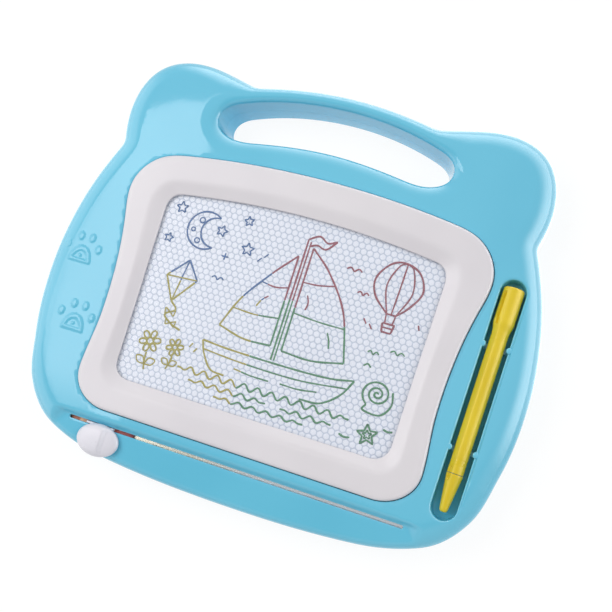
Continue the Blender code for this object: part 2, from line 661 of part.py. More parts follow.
def build_eraser():
    """The eraser: its knob, the carrier under the slot, the arm and the magnet strip."""
    build_knob()
    inner = RAIL_WIDTH / 2 + GAP
    outer = inner + CARRIER_CHEEK
    half = CARRIER_LENGTH / 2
    carrier = box(
        "eraser_carrier",
        (ERASER_X - half, SLOT_Y - outer, RAIL_UNDER + GAP),
        (ERASER_X + half, SLOT_Y + outer, CARRIER_Z),
        colour="brown_red",
        roughness=0.5,
    )
    groove = box(
        "carrier_groove",
        (ERASER_X - half - OVERRUN, SLOT_Y - inner, RAIL_UNDER - OVERRUN),
        (ERASER_X + half + OVERRUN, SLOT_Y + inner, RAIL_TOP + GAP),
    )
    boolean(carrier, groove)
    start, end = SLOT_Y + outer + GAP, UPPER_RAIL_Y + outer
    half = ARM_WIDTH / 2
    arm = box(
        "eraser_arm",
        (ERASER_X - half, start, ARM_UNDER),
        (ERASER_X + half, end, ARM_TOP),
        colour="off_white",
        roughness=0.4,
    )
    half = ARM_SHOE_WIDTH / 2
    shoe = box(
        "arm_shoe",
        (ERASER_X - half, UPPER_RAIL_Y - outer, ARM_UNDER - RAIL_HEIGHT),
        (ERASER_X + half, UPPER_RAIL_Y + outer, ARM_UNDER + ARM_THICKNESS / 2),
    )
    boolean(arm, shoe, "UNION")
    shoe_groove = box(
        "shoe_groove",
        (ERASER_X - half - OVERRUN, UPPER_RAIL_Y - inner, ARM_UNDER - RAIL_HEIGHT - OVERRUN),
        (ERASER_X + half + OVERRUN, UPPER_RAIL_Y + inner, ARM_UNDER),
    )
    boolean(arm, shoe_groove)
    half = MAGNET_WIDTH / 2
    box(
        "eraser_magnet",
        (ERASER_X - half, WINDOW_BOTTOM + MAGNET_BORDER, ARM_TOP + GAP),
        (ERASER_X + half, WINDOW_BOTTOM + WINDOW_LENGTH - MAGNET_BORDER, SHELF_TOP - GAP),
        colour="ferrite",
        roughness=0.6,
    )


def build_knob():
    """The round grip of the eraser, with its fin and the stem that goes down the slot."""
    low = CHIN + GAP
    reach = SLOT_Y + SLOT_WIDTH / 2 - GAP
    x, y = ERASER_X + KNOB_SHIFT, reach - KNOB_LENGTH / 2
    half_x, half_y = KNOB_WIDTH / 2, KNOB_LENGTH / 2
    rings = [
        ring(ellipse(x, y, half_x * size, half_y * size, KNOB_ROUND), low + rise * KNOB_HEIGHT)
        for size, rise in KNOB_SHARES
    ]
    knob = loft("eraser_knob", rings, colour="off_white", roughness=0.3)
    foot = ellipse(x, y, KNOB_FIN_WIDTH / 2, half_y - KNOB_FIN_END)
    crest = ellipse(x, y, KNOB_CREST_WIDTH / 2, half_y - 2 * KNOB_FIN_END)
    top = low + KNOB_HEIGHT
    fin = [ring(foot, low + KNOB_HEIGHT / 2), ring(foot, top), ring(crest, top + KNOB_FIN_RISE)]
    boolean(knob, loft("knob_fin", fin), "UNION")
    half_x, half_y = STEM_WIDTH / 2, SLOT_WIDTH / 2 - GAP
    bridge = box(
        "knob_bridge",
        (ERASER_X - half_x, y, low),
        (ERASER_X + half_x, reach - GAP / 2, low + KNOB_BRIDGE_THICKNESS),
    )
    boolean(knob, bridge, "UNION")
    stem = box(
        "knob_stem",
        (ERASER_X - half_x + GAP, SLOT_Y - half_y, CARRIER_Z + GAP),
        (ERASER_X + half_x - GAP, reach - GAP, low + KNOB_BRIDGE_THICKNESS - GAP),
    )
    boolean(knob, stem, "UNION")


def turned(name, profile, **finish):
    """A piece turned about its own Y axis from pairs of place along it and radius, in the pen's frame."""
    rings = []
    for y, radius in profile:
        section = ellipse(0, 0, radius, radius, PEN_ROUND)
        rings.append(np.c_[section[:, 0], np.full(PEN_ROUND, y), -section[:, 1]])
    item = loft(name, rings, **finish)
    item.parent = bpy.data.objects["pen_axis"]
    return item


def build_pen():
    """The pen, turned about its axis: barrel, nose, end cap and the magnet in the nose."""
    top, tip = PEN_LENGTH / 2, -PEN_LENGTH / 2
    nose_start = tip + PEN_NOSE_LENGTH
    barrel = turned(
        "pen_barrel",
        (
            (nose_start + GAP, PEN_NOSE_RADIUS),
            (nose_start + GAP + PEN_ROUNDING, PEN_NOSE_RADIUS),
            (nose_start + PEN_SHOULDER, PEN_WAIST_RADIUS),
            (top - PEN_HEAD_LENGTH - PEN_SHOULDER, PEN_BARREL_RADIUS),
            (top - PEN_HEAD_LENGTH, PEN_HEAD_RADIUS),
            (top - PEN_ROUNDING, PEN_HEAD_RADIUS),
            (top, PEN_HEAD_RADIUS - PEN_ROUNDING),
        ),
        colour="yellow",
        roughness=0.3,
    )
    smooth_shading(barrel)
    bore = ((nose_start + PEN_SHOULDER, PEN_BORE_RADIUS + GAP), (top + OVERRUN, PEN_BORE_RADIUS + GAP))
    boolean(barrel, turned("pen_bore", bore))
    cap = turned(
        "pen_cap",
        ((top - PEN_CAP_LENGTH, PEN_BORE_RADIUS), (top - GAP, PEN_BORE_RADIUS)),
        colour="yellow",
        roughness=0.3,
    )
    smooth_shading(cap)
    groove_end = top - PEN_GROOVE_WIDTH
    groove = box(
        "pen_groove",
        (-PEN_HEAD_RADIUS - OVERRUN, groove_end - PEN_GROOVE_LENGTH, -PEN_GROOVE_WIDTH / 2),
        (-PEN_HEAD_RADIUS + PEN_GROOVE_DEPTH, groove_end, PEN_GROOVE_WIDTH / 2),
    )
    groove.parent = bpy.data.objects["pen_axis"]
    boolean(barrel, groove)
    nose = turned(
        "pen_nose",
        (
            (tip, PEN_POINT_RADIUS - PEN_ROUNDING / 2),
            (tip + PEN_ROUNDING / 2, PEN_POINT_RADIUS),
            (nose_start, PEN_NOSE_RADIUS),
        ),
        colour="yellow",
        roughness=0.3,
    )
    smooth_shading(nose)
    bore_radius = PEN_MAGNET_RADIUS + GAP
    magnet_low = tip + PEN_POINT_RADIUS
    boolean(nose, turned("nose_bore", ((magnet_low, bore_radius), (nose_start + OVERRUN, bore_radius))))
    magnet = turned(
        "pen_magnet",
        ((magnet_low + GAP, PEN_MAGNET_RADIUS), (magnet_low + PEN_MAGNET_LENGTH, PEN_MAGNET_RADIUS)),
        colour="steel",
        roughness=0.3,
        metallic=1.0,
    )
    smooth_shading(magnet)


def build_screws():
    """The screws that close the back cover, each with its head in a well."""
    seat = BACK_COVER_HEIGHT - SCREW_SEAT - GAP
    for number, (x, y) in enumerate(SCREW_PLACES, 1):
        head, shank = circle(x, y, SCREW_HEAD_RADIUS), circle(x, y, SCREW_RADIUS)
        rings = [
            ring(head, seat - SCREW_HEAD_HEIGHT),
            ring(head, seat),
            ring(shank, seat),
            ring(shank, seat + SCREW_LENGTH),
        ]
        loft(f"screw_{number}", rings, colour="steel", roughness=0.35, metallic=1.0)


def add_empty(name, parent=None, place=(0, 0, 0), turn=0.0):
    """An empty that carries a frame."""
    item = bpy.data.objects.new(name, None)
    bpy.context.collection.objects.link(item)
    item.parent = parent
    item.location = place
    item.rotation_euler = (0, 0, turn)
    return item


def main():
    """Build the board."""
    clear_scene()
    frame = add_empty("drafting_frame", place=(0, WORLD_SHIFT, 0))
    add_empty("pen_axis", frame, (PEN_X, PEN_Y, PEN_Z), -LEAN)
    build_front_casing()
    build_back_cover()
    build_bezel()
    build_screen()
    build_rails()
    build_eraser()
    build_pen()
    build_screws()


main()
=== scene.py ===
"""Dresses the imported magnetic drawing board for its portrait.

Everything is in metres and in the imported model's frame: +X to the right of the screen,
+Y towards the carrying handle and +Z up out of the screen. New pieces are surfaces worked
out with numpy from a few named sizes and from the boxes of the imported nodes.
"""

import logging
import math
from collections.abc import Callable, Sequence
from dataclasses import dataclass, field
from enum import Enum
from typing import Any

import bmesh
import bpy
import numpy as np
from mathutils import Matrix, Vector
from mathutils.geometry import delaunay_2d_cdt


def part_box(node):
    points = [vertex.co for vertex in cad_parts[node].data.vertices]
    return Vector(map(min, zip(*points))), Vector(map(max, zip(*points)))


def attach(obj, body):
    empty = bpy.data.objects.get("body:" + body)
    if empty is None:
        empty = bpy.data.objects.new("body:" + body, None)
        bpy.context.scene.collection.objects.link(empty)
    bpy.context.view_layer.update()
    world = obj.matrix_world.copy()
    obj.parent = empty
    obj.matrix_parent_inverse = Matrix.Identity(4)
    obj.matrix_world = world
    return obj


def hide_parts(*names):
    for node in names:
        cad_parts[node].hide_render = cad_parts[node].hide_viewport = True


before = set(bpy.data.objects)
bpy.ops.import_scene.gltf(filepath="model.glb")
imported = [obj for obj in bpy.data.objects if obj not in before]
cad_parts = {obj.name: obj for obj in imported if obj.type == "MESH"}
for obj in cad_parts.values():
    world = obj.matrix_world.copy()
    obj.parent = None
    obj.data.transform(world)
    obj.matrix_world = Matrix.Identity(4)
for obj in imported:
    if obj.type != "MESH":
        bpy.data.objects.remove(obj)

LOG = logging.getLogger("drawing_board")
MM = 0.001

Array = np.ndarray
Part = tuple[Array, list[Array]]
Knots = tuple[tuple[float, float, float], ...]
Stops = tuple[tuple[float, str], ...]
Strokes = list["Stroke"]
Items = list[bpy.types.Object]
Material = bpy.types.Material
Tree = bpy.types.NodeTree
Socket = bpy.types.NodeSocket


def linear(code: str) -> tuple[float, float, float, float]:
    """Turn an sRGB hex colour to the linear colour that shaders read.

    Args:
        code: Six hex digits.

    Returns:
        Red, green, blue and an alpha of one.
    """
    shares = [int(code[i : i + 2], 16) / 255 for i in (0, 2, 4)]
    return (*(s / 12.92 if s <= 0.04045 else ((s + 0.055) / 1.055) ** 2.4 for s in shares), 1.0)


def smoothstep(share: Array) -> Array:
    """Ease from 0 to 1: three shares squared less two shares cubed, held at both ends."""
    held = np.clip(share, 0, 1)
    return held * held * (3 - 2 * held)


def eased(value: Array, start: float, end: float) -> Array:
    """Ease from 0 where a value is at the start to 1 where it is at the end."""
    return smoothstep((value - start) / (end - start))


def quarter_round(share: Array) -> Array:
    """Fall from 1 to 0 as a quarter circle does: one less the root of one less the rest squared."""
    return 1 - np.sqrt(1 - (1 - share) ** 2)


def rounding(*degrees: float) -> list[tuple[float, float]]:
    """Work out shares of an edge's radius at each angle: one less its cosine, one less its sine."""
    return [(1 - math.cos(angle), 1 - math.sin(angle)) for angle in map(math.radians, degrees)]


def lifted(outline: Array, height: float | Array) -> Array:
    """Give the points of a plan outline one height, or one each."""
    return np.c_[outline, np.broadcast_to(height, len(outline))]


def curved_stretch(start: Sequence[float], end: Sequence[float], steps: int) -> Array:
    """Work out the points of one stretch between two knots.

    Formula: a cubic Bezier whose handles follow the two headings and whose handle length
    is chord times 2/3 of tan(turn/4) over sin(turn/2), which bends about as an arc does.

    Args:
        start: X, Y and heading in degrees where the stretch begins.
        end: The same where it ends.
        steps: How many points to give, the end left out.

    Returns:
        An array of steps by 2.
    """
    a, b = np.array(start[:2]), np.array(end[:2])
    turn = math.radians((end[2] - start[2] + 180) % 360 - 180)
    chord = float(np.linalg.norm(b - a))
    reach = chord / 3 if abs(turn) < 1e-6 else chord * 2 / 3 * math.tan(turn / 4) / math.sin(turn / 2)
    out, back = math.radians(start[2]), math.radians(end[2])
    c = a + reach * np.array([math.cos(out), math.sin(out)])
    d = b - reach * np.array([math.cos(back), math.sin(back)])
    t = np.arange(steps)[:, None] / steps
    return (1 - t) ** 3 * a + 3 * (1 - t) ** 2 * t * c + 3 * (1 - t) * t**2 * d + t**3 * b


def mirrored(knots: Knots, half_width: float, bottom: float, length: float, steps: int) -> Array:
    """Make a closed outline from the knots of its right half.

    Args:
        knots: Share of half the width, share of the length and heading, from bottom to top.
        half_width: Half the outline's width.
        bottom: Y of its lowest point.
        length: Its length along Y.
        steps: Points in each stretch between knots.

    Returns:
        The points of both halves.
    """
    placed = [(x * half_width, bottom + y * length, heading) for x, y, heading in knots]
    parts = [curved_stretch(a, b, steps) for a, b in zip(placed, placed[1:])]
    right = np.vstack(parts + [np.array([placed[-1][:2]])])
    return np.vstack([right, right[-2:0:-1] * [-1, 1]])


def evened(points: Array, spacing: float) -> Array:
    """Space an outline's points evenly along its length.

    Args:
        points: The closed outline.
        spacing: Distance wanted between points.

    Returns:
        The new points.
    """
    closed = np.vstack([points, points[:1]])
    run = np.r_[0, np.cumsum(np.linalg.norm(np.diff(closed, axis=0), axis=1))]
    count = max(8, int(round(run[-1] / spacing)))
    at = np.arange(count) / count * run[-1]
    return np.c_[np.interp(at, run, closed[:, 0]), np.interp(at, run, closed[:, 1])]


def moved_in(points: Array, distance: float | Array) -> Array:
    """Move each point inwards, square to the outline.

    Formula: along the mean of the two neighbouring pieces' normals, by the distance over
    the cosine of half the turn, so that both pieces move by the distance.

    Args:
        points: The outline.
        distance: How far, one for all points or one each; a negative one grows it.

    Returns:
        The new outline.
    """
    before = points - np.roll(points, 1, 0)
    after = np.roll(points, -1, 0) - points
    before = before / np.linalg.norm(before, axis=1)[:, None]
    after = after / np.linalg.norm(after, axis=1)[:, None]
    along = before + after
    along = along / np.linalg.norm(along, axis=1)[:, None]
    inward = np.c_[-along[:, 1], along[:, 0]]
    miter = np.clip((along * after).sum(1), 0.5, 1)[:, None]
    return points + inward * distance / miter


def distance_to(places: Array, points: Array) -> Array:
    """Measure how far places are from an outline.

    Formula: the least distance from a place to any of the outline's straight pieces,
    worked out for a few thousand places at a time.

    Args:
        places: Array of n by 2.
        points: The outline.

    Returns:
        Array of n distances, all positive.
    """
    ends = np.roll(points, -1, 0)
    along = ends - points
    square = (along**2).sum(1)
    found = []
    for chunk in np.array_split(places, max(1, len(places) // 3000)):
        offset = chunk[:, None, :] - points[None]
        t = np.clip((offset * along[None]).sum(2) / square, 0, 1)
        gap = offset - t[..., None] * along[None]
        found.append(np.sqrt((gap**2).sum(2).min(1)))
    return np.concatenate(found)


def held_by(places: Array, points: Array) -> Array:
    """Tell which places an outline holds, by counting its crossings to the right of each.

    Args:
        places: Array of n by 2.
        points: The outline.

    Returns:
        Array of n truth values.
    """
    ends = np.roll(points, -1, 0)
    run, rise = (ends - points).T
    climb = np.where(rise == 0, 1, rise)
    found = []
    for chunk in np.array_split(places, max(1, len(places) // 3000)):
        x, y = chunk[:, :1], chunk[:, 1:]
        spans = (points[:, 1] > y) != (ends[:, 1] > y)
        cross = points[:, 0] + (y - points[:, 1]) * run / climb
        found.append((spans & (x < cross)).sum(1) % 2 == 1)
    return np.concatenate(found)


def unit_circle(count: int) -> Array:
    """Outline of a circle of radius 1 round the origin."""
    around = np.linspace(0, 2 * math.pi, count, endpoint=False)
    return np.c_[np.cos(around), np.sin(around)]


def round_ended(half_length: float, radius: float, steps: int = 14) -> Array:
    """Work out the outline of a round-ended slot that lies along Y.

    Args:
        half_length: Half its whole length.
        radius: Radius of its ends.
        steps: Points on each end.

    Returns:
        The outline.
    """
    angle = np.linspace(0, math.pi, steps)
    top = np.c_[radius * np.cos(angle), half_length - radius + radius * np.sin(angle)]
    return np.vstack([top, -top])


def round_cornered(half: Sequence[float], centre: Sequence[float], radius: float, steps: int = 6) -> Array:
    """Work out the outline of a rectangle with round corners.

    Args:
        half: Half its width and length.
        centre: X and Y of its middle.
        radius: Radius of its corners.
        steps: Points on each corner.

    Returns:
        The outline.
    """
    angle = np.radians(np.linspace(0, 90, steps))
    corners = []
    for turn, sx, sy in ((-90, 1, -1), (0, 1, 1), (90, -1, 1), (180, -1, -1)):
        direction = angle + math.radians(turn)
        x = centre[0] + sx * (half[0] - radius) + radius * np.cos(direction)
        y = centre[1] + sy * (half[1] - radius) + radius * np.sin(direction)
        corners.append(np.c_[x, y])
    return np.vstack(corners)


def lattice(low: Sequence[float], high: Sequence[float], pitch: float) -> Array:
    """Work out the places of a triangular lattice over a rectangle.

    Args:
        low: Its low corner.
        high: Its high corner.
        pitch: Distance between neighbours.

    Returns:
        Array of n by 2.
    """
    rows = np.arange(low[1], high[1], pitch * math.sqrt(3) / 2)
    columns = np.arange(low[0], high[0], pitch)
    x, y = np.meshgrid(columns, rows)
    x = x + (np.arange(len(rows)) % 2)[:, None] * pitch / 2
    return np.c_[x.ravel(), y.ravel()]


def kept_between(places: Array, loops: Sequence[Array], margins: tuple[float, float]) -> Array:
    """Keep the places that lie inside an outer loop and outside its holes.

    Args:
        places: Array of n by 2.
        loops: The outer loop, then one loop for each hole.
        margins: Least distance from the outer loop, and from a hole.

    Returns:
        The places kept.
    """
    keep = held_by(places, loops[0]) & (distance_to(places, loops[0]) > margins[0])
    for loop in loops[1:]:
        keep &= ~held_by(places, loop) & (distance_to(places, loop) > margins[1])
    return places[keep]


def grid(rings: Sequence[Array], closed: bool = False) -> Part:
    """Join rings of equal count into a tube of four-sided faces.

    Args:
        rings: Arrays of n by 3.
        closed: Whether the last ring also joins the first.

    Returns:
        Points and faces.
    """
    rows, columns = len(rings), len(rings[0])
    index = np.arange(rows * columns).reshape(rows, columns)
    low = index if closed else index[:-1]
    high = np.roll(index, -1, 0) if closed else index[1:]
    right = np.roll(low, -1, 1), np.roll(high, -1, 1)
    faces = np.stack([low, right[0], right[1], high], -1).reshape(-1, 4)
    return np.vstack(rings), [faces]


def cap(ring: Array, flip: bool = False) -> Part:
    """Close a ring with one fan of triangles round its middle.

    Args:
        ring: Array of n by 3.
        flip: Whether the fan is turned over.

    Returns:
        Points and faces.
    """
    count = len(ring)
    spokes = np.arange(count)
    faces = np.stack([spokes, np.roll(spokes, -1), np.full(count, count)], -1)
    return np.vstack([ring, ring.mean(0)]), [faces[:, ::-1] if flip else faces]


def joined(parts: Sequence[Part]) -> Part:
    """Put several grids and fills together.

    Args:
        parts: Points and faces of each.

    Returns:
        All the points, and the faces with their points numbered anew.
    """
    starts = np.cumsum([0] + [len(points) for points, _ in parts])
    faces = [block + start for start, (_, blocks) in zip(starts, parts) for block in blocks]
    return np.vstack([points for points, _ in parts]), faces


def sealed(rings: Sequence[Array]) -> Part:
    """Join rings into a tube and close both its ends."""
    ends = [cap(rings[0], flip=True), cap(rings[-1])]
    return joined([grid(rings), *ends])


def filled(loops: Sequence[Array], seeds: Array, height: Callable[[Array], Array]) -> Part:
    """Fill the plan between an outer loop and its holes, and lift it to a height formula.

    Args:
        loops: The outer loop, then one loop for each hole.
        seeds: Places inside, where the surface gets points.
        height: Gives the height of each place.

    Returns:
        Points and triangles.
    """
    starts = np.cumsum([0] + [len(loop) for loop in loops])
    rounds = [start + np.arange(len(loop)) for start, loop in zip(starts, loops)]
    edges = np.vstack([np.c_[numbers, np.roll(numbers, -1)] for numbers in rounds])
    flat = np.vstack([*loops, seeds]) / MM
    found = delaunay_2d_cdt([Vector(p) for p in flat.tolist()], edges.tolist(), [], 0, 1e-4, False)
    places = np.array([tuple(p) for p in found[0]]) * MM
    faces = np.array([face[:] for face in found[2]])
    middle = places[faces].mean(1)
    keep = held_by(middle, loops[0])
    for loop in loops[1:]:
        keep &= ~held_by(middle, loop)
    return lifted(places, height(places)), [faces[keep]]


def new_mesh(name: str, part: Part) -> bpy.types.Mesh:
    """Put points and faces into a new mesh.

    Args:
        name: Its name.
        part: Its points and faces.

    Returns:
        The mesh.
    """
    made = bpy.data.meshes.new(name)
    made.from_pydata(part[0].tolist(), [], [face for block in part[1] for face in block.tolist()])
    return made


def new_piece(
    name: str,
    parts: Sequence[Part],
    body: str,
    smooth: float = 38.0,
    thickness: float = 0.0,
    facing: int = 1,
) -> bpy.types.Object:
    """Make one object of several grids and fills.

    Doubles are merged first, then the faces are turned outwards, and a skin that has a
    thickness gets it on the side that it faces away from.

    Args:
        name: The piece's name.
        parts: Points and faces of each grid or fill.
        body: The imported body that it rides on.
        smooth: Edges sharper than this many degrees stay sharp.
        thickness: Wall thickness, or zero for a closed piece.
        facing: Whether a skin looks mostly up (1) or down (-1).

    Returns:
        The object.
    """
    mesh = new_mesh(name, joined(parts))
    work = bmesh.new()
    work.from_mesh(mesh)
    bmesh.ops.remove_doubles(work, verts=work.verts, dist=0.003 * MM)
    loose = [vertex for vertex in work.verts if not vertex.link_faces]
    bmesh.ops.delete(work, geom=loose, context="VERTS")
    bmesh.ops.recalc_face_normals(work, faces=work.faces)
    if thickness and sum(face.calc_area() * face.normal.z for face in work.faces) * facing < 0:
        bmesh.ops.reverse_faces(work, faces=work.faces)
    work.to_mesh(mesh)
    work.free()
    item = bpy.data.objects.new(name, mesh)
    bpy.context.collection.objects.link(item)
    if thickness:
        wall = item.modifiers.new("wall", "SOLIDIFY")
        wall.thickness = thickness
        wall.offset = -1
    mesh.shade_smooth()
    mesh.set_sharp_from_angle(angle=math.radians(smooth))
    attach(item, body)
    return item


def connect(tree: Tree, node: bpy.types.Node, values: dict[Any, Any]) -> None:
    """Set a node's values and link its inputs.

    Args:
        tree: The material's or world's node tree.
        node: The node.
        values: By property name, socket name or socket number, a value to set or an output
            socket to link.
    """
    for name, value in values.items():
        if isinstance(value, Socket):
            tree.links.new(value, node.inputs[name])
        elif isinstance(name, str) and hasattr(node, name):
            setattr(node, name, value)
        else:
            node.inputs[name].default_value = value


def add_node(
    tree: Tree,
    kind: str,
    values: dict[Any, Any] | None = None,
    ramp: Stops = (),
) -> bpy.types.Node:
    """Add a node with its settings and links.

    Args:
        tree: The material's or world's node tree.
        kind: The node's type name.
        values: What it gets, as connect takes it.
        ramp: Stops of a colour ramp as position and hex colour.

    Returns:
        The node.
    """
    node = tree.nodes.new(kind)
    connect(tree, node, values or {})
    for number, (position, code) in enumerate(ramp):
        stops = node.color_ramp.elements
        stop = stops[number] if number < 2 else stops.new(position)
        stop.position = position
        stop.color = linear(code)
    return node


def new_tree(name: str) -> tuple[Material, Tree, bpy.types.Node]:
    """Start a material.

    Args:
        name: Its name.

    Returns:
        The material, its node tree and its Principled shader.
    """
    made = bpy.data.materials.new(name)
    made.use_nodes = True
    return made, made.node_tree, made.node_tree.nodes["Principled BSDF"]


def clouds(tree: Tree, size: float, detail: float = 2.0) -> Socket:
    """Draw clouds of a real size on a piece's own coordinates.

    Args:
        tree: The material's node tree.
        size: How far a cloud is from the next.
        detail: How many finer layers lie over them.

    Returns:
        The socket that gives their level.
    """
    place = add_node(tree, "ShaderNodeTexCoord").outputs["Object"]
    found = add_node(tree, "ShaderNodeTexNoise", {"Scale": 1 / size, "Detail": detail, "Vector": place})
    return found.outputs["Fac"]


def mottle(tree: Tree, size: float, stops: Stops) -> Socket:
    """Let a colour cloud from one tone to another.

    Args:
        tree: The material's node tree.
        size: How far a cloud is from the next.
        stops: Levels of the clouds and their hex colours.

    Returns:
        The socket that gives the colour.
    """
    return add_node(tree, "ShaderNodeValToRGB", {"Fac": clouds(tree, size)}, stops).outputs["Color"]


def unevenness(
    tree: Tree, size: float, low: float, high: float, detail: float = 2.0, contrast: float = 1.0
) -> Socket:
    """Let a value such as roughness vary in clouds.

    Args:
        tree: The material's node tree.
        size: How far a cloud is from the next.
        low: The value in the darkest clouds.
        high: The value in the lightest ones.
        detail: How many finer layers lie over them.
        contrast: How much of the clouds' own range lies beyond the two values.

    Returns:
        The socket that gives the value.
    """
    level = clouds(tree, size, detail)
    reach = 0.5 / contrast
    settings = {"From Min": 0.5 - reach, "From Max": 0.5 + reach, "To Min": low, "To Max": high}
    return add_node(tree, "ShaderNodeMapRange", {**settings, "Value": level}).outputs["Result"]


def fade_along(tree: Tree, low: float, high: float, stops: Stops) -> Socket:
    """Let a colour run from one tone to another along X.

    Args:
        tree: The material's node tree.
        low: X where it starts.
        high: X where it ends.
        stops: Shares of the way and their hex colours, the first and the last stop first.

    Returns:
        The socket that gives the colour.
    """
    place = add_node(tree, "ShaderNodeTexCoord").outputs["Object"]
    x = add_node(tree, "ShaderNodeSeparateXYZ", {"Vector": place}).outputs["X"]
    run = add_node(tree, "ShaderNodeMapRange", {"From Min": low, "From Max": high, "Value": x})
    return add_node(tree, "ShaderNodeValToRGB", {"Fac": run.outputs["Result"]}, stops).outputs["Color"]


def looked_at(tree: Tree) -> Socket:
    """Tell rays that reach the eye from rays that only light matt surfaces.

    Args:
        tree: The node tree of a material or of the world.

    Returns:
        The socket that gives 1 for camera, glossy and transmission rays and 0 for the rest.
    """
    rays = add_node(tree, "ShaderNodeLightPath").outputs
    seen = rays["Is Camera Ray"]
    for kind in ("Is Glossy Ray", "Is Transmission Ray"):
        seen = add_node(tree, "ShaderNodeMath", {"operation": "MAXIMUM", 0: seen, 1: rays[kind]}).outputs[0]
    return seen


@dataclass(frozen=True)
class MouldedPlastic:
    """Injection-moulded plastic such as ABS, polished or satin from its steel mould.

    The eye gets a nearly even colour that clouds a little where the melt flowed, faint
    waves in its reflections (orange peel), and gloss that varies a little from handling.
    """

    name: str
    light: str
    dark: str
    roughness: float = 0.14
    cloud: float = 70 * MM
    peel: float = 5 * MM
    peel_depth: float = 0.004 * MM
    texture: float = 0.0
    texture_depth: float = 0.0
    ior: float = 1.53

    def material(self) -> Material:
        """Build the node material.

        Returns:
            The material.
        """
        made, tree, shader = new_tree(self.name)
        waves = {"Strength": 1.0, "Distance": self.peel_depth, "Height": clouds(tree, self.peel, 1.0)}
        normal = add_node(tree, "ShaderNodeBump", waves).outputs["Normal"]
        if self.texture:
            height = clouds(tree, self.texture)
            grain = {"Strength": 1.0, "Distance": self.texture_depth, "Height": height, "Normal": normal}
            normal = add_node(tree, "ShaderNodeBump", grain).outputs["Normal"]
        low, high = self.roughness * 0.85, self.roughness * 1.2
        gloss = unevenness(tree, self.cloud / 3, low, high, detail=4.0, contrast=2.5)
        colour = mottle(tree, self.cloud, ((0.35, self.dark), (0.65, self.light)))
        connect(tree, shader, {"Base Color": colour, "Roughness": gloss, "Normal": normal, "IOR": self.ior})
        return made


@dataclass(frozen=True)
class FadingPlastic:
    """Moulded plastic whose colour runs through given tones along X; on the carrier a pale peach band in it
    is a painted highlight.

    Fine flow streaks a millimetre apart let its gloss vary.
    """

    name: str
    stops: Stops
    low: float
    high: float
    roughness: float = 0.4
    streak: float = 1 * MM

    def material(self) -> Material:
        """Build the node material.

        Returns:
            The material.
        """
        made, tree, shader = new_tree(self.name)
        colour = fade_along(tree, self.low, self.high, self.stops)
        gloss = unevenness(tree, self.streak, self.roughness * 0.8, self.roughness * 1.2)
        connect(tree, shader, {"Base Color": colour, "Roughness": gloss})
        return made


@dataclass(frozen=True)
class PlatedPlastic:
    """Vacuum-plated cream plastic: a bright strip that mirrors the pale room above the slot.

    It is brushed along its length, in streaks 0.3 mm apart and 10 mm long.
    """

    name: str = "bright_plated_cream_abs"
    stops: Stops = (
        (0.0, "FFF9E6"), (1.0, "F4FAFF"), (0.3, "F4F0E0"), (0.6, "F4FAFE"),
    )
    low: float = -60 * MM
    high: float = 60 * MM
    streaks: tuple[float, float] = (10 * MM, MM / 3)
    roughness: tuple[float, float] = (0.16, 0.3)

    def material(self) -> Material:
        """Build the node material.

        Returns:
            The material.
        """
        made, tree, shader = new_tree(self.name)
        colour = fade_along(tree, self.low, self.high, self.stops)
        place = add_node(tree, "ShaderNodeTexCoord").outputs["Object"]
        length, width = self.streaks
        scale = (1 / length, 1 / width, 1 / width)
        drawn = add_node(tree, "ShaderNodeMapping", {"Scale": scale, "Vector": place})
        streak = add_node(tree, "ShaderNodeTexNoise", {"Scale": 1.0, "Vector": drawn.outputs["Vector"]})
        low, high = self.roughness
        spread = {"To Min": low, "To Max": high, "Value": streak.outputs["Fac"]}
        gloss = add_node(tree, "ShaderNodeMapRange", spread).outputs["Result"]
        connect(tree, shader, {"Base Color": colour, "Roughness": gloss, "Metallic": 0.85})
        return made


@dataclass(frozen=True)
class CellSheet:
    """Vacuum-formed honeycomb of pale plastic, each cell filled with milky magnetic slurry.

    The eye gets milky cells with a little cloudiness, and greyer walls between them. The
    mesh's own attribute says how near each point is to a wall.
    """

    name: str = "honeycomb_of_milky_cells"
    milky: str = "E9ECF5"
    rim: str = "D5DBE8"
    wall: str = "ABB5CA"
    attribute: str = "wall_nearness"
    cloud: float = 9 * MM
    drift: float = 0.08

    def material(self) -> Material:
        """Build the node material.

        Returns:
            The material.
        """
        made, tree, shader = new_tree(self.name)
        near = add_node(tree, "ShaderNodeAttribute", {"attribute_name": self.attribute}).outputs["Fac"]
        drift = unevenness(tree, self.cloud, -self.drift, self.drift, detail=3.0)
        level = add_node(tree, "ShaderNodeMath", {"operation": "ADD", 0: near, 1: drift}).outputs[0]
        stops = ((0.15, self.milky), (0.97, self.wall), (0.62, self.rim))
        colour = add_node(tree, "ShaderNodeValToRGB", {"Fac": level}, stops).outputs["Color"]
        connect(tree, shader, {"Base Color": colour, "Roughness": 0.4})
        return made


@dataclass(frozen=True)
class ClearFilm:
    """Clear PET film, slightly hazy from use: a soft sheen and a faint veil over what lies below.

    Its haze clouds over a few centimetres.
    """

    name: str = "clear_pet_film"
    tint: str = "DDE4F0"
    haze: float = 0.07
    smear: float = 30 * MM

    def material(self) -> Material:
        """Build the node material.

        Returns:
            The material.
        """
        made, tree, shader = new_tree(self.name)
        haze = unevenness(tree, self.smear, self.haze * 0.8, self.haze * 1.2, detail=3.0)
        tint = linear(self.tint)
        connect(tree, shader, {"Base Color": tint, "Roughness": 0.22, "IOR": 1.64, "Alpha": haze})
        return made


@dataclass(frozen=True)
class DrawnLine:
    """Magnetic powder pulled up behind the film: a matt coloured line with a grain of half a millimetre."""

    name: str
    colour: str
    pale: str
    grain: float = 0.5 * MM

    def material(self) -> Material:
        """Build the node material.

        Returns:
            The material.
        """
        made, tree, shader = new_tree(self.name)
        colour = mottle(tree, self.grain, ((0.4, self.colour), (0.75, self.pale)))
        connect(tree, shader, {"Base Color": colour, "Roughness": 0.7})
        return made


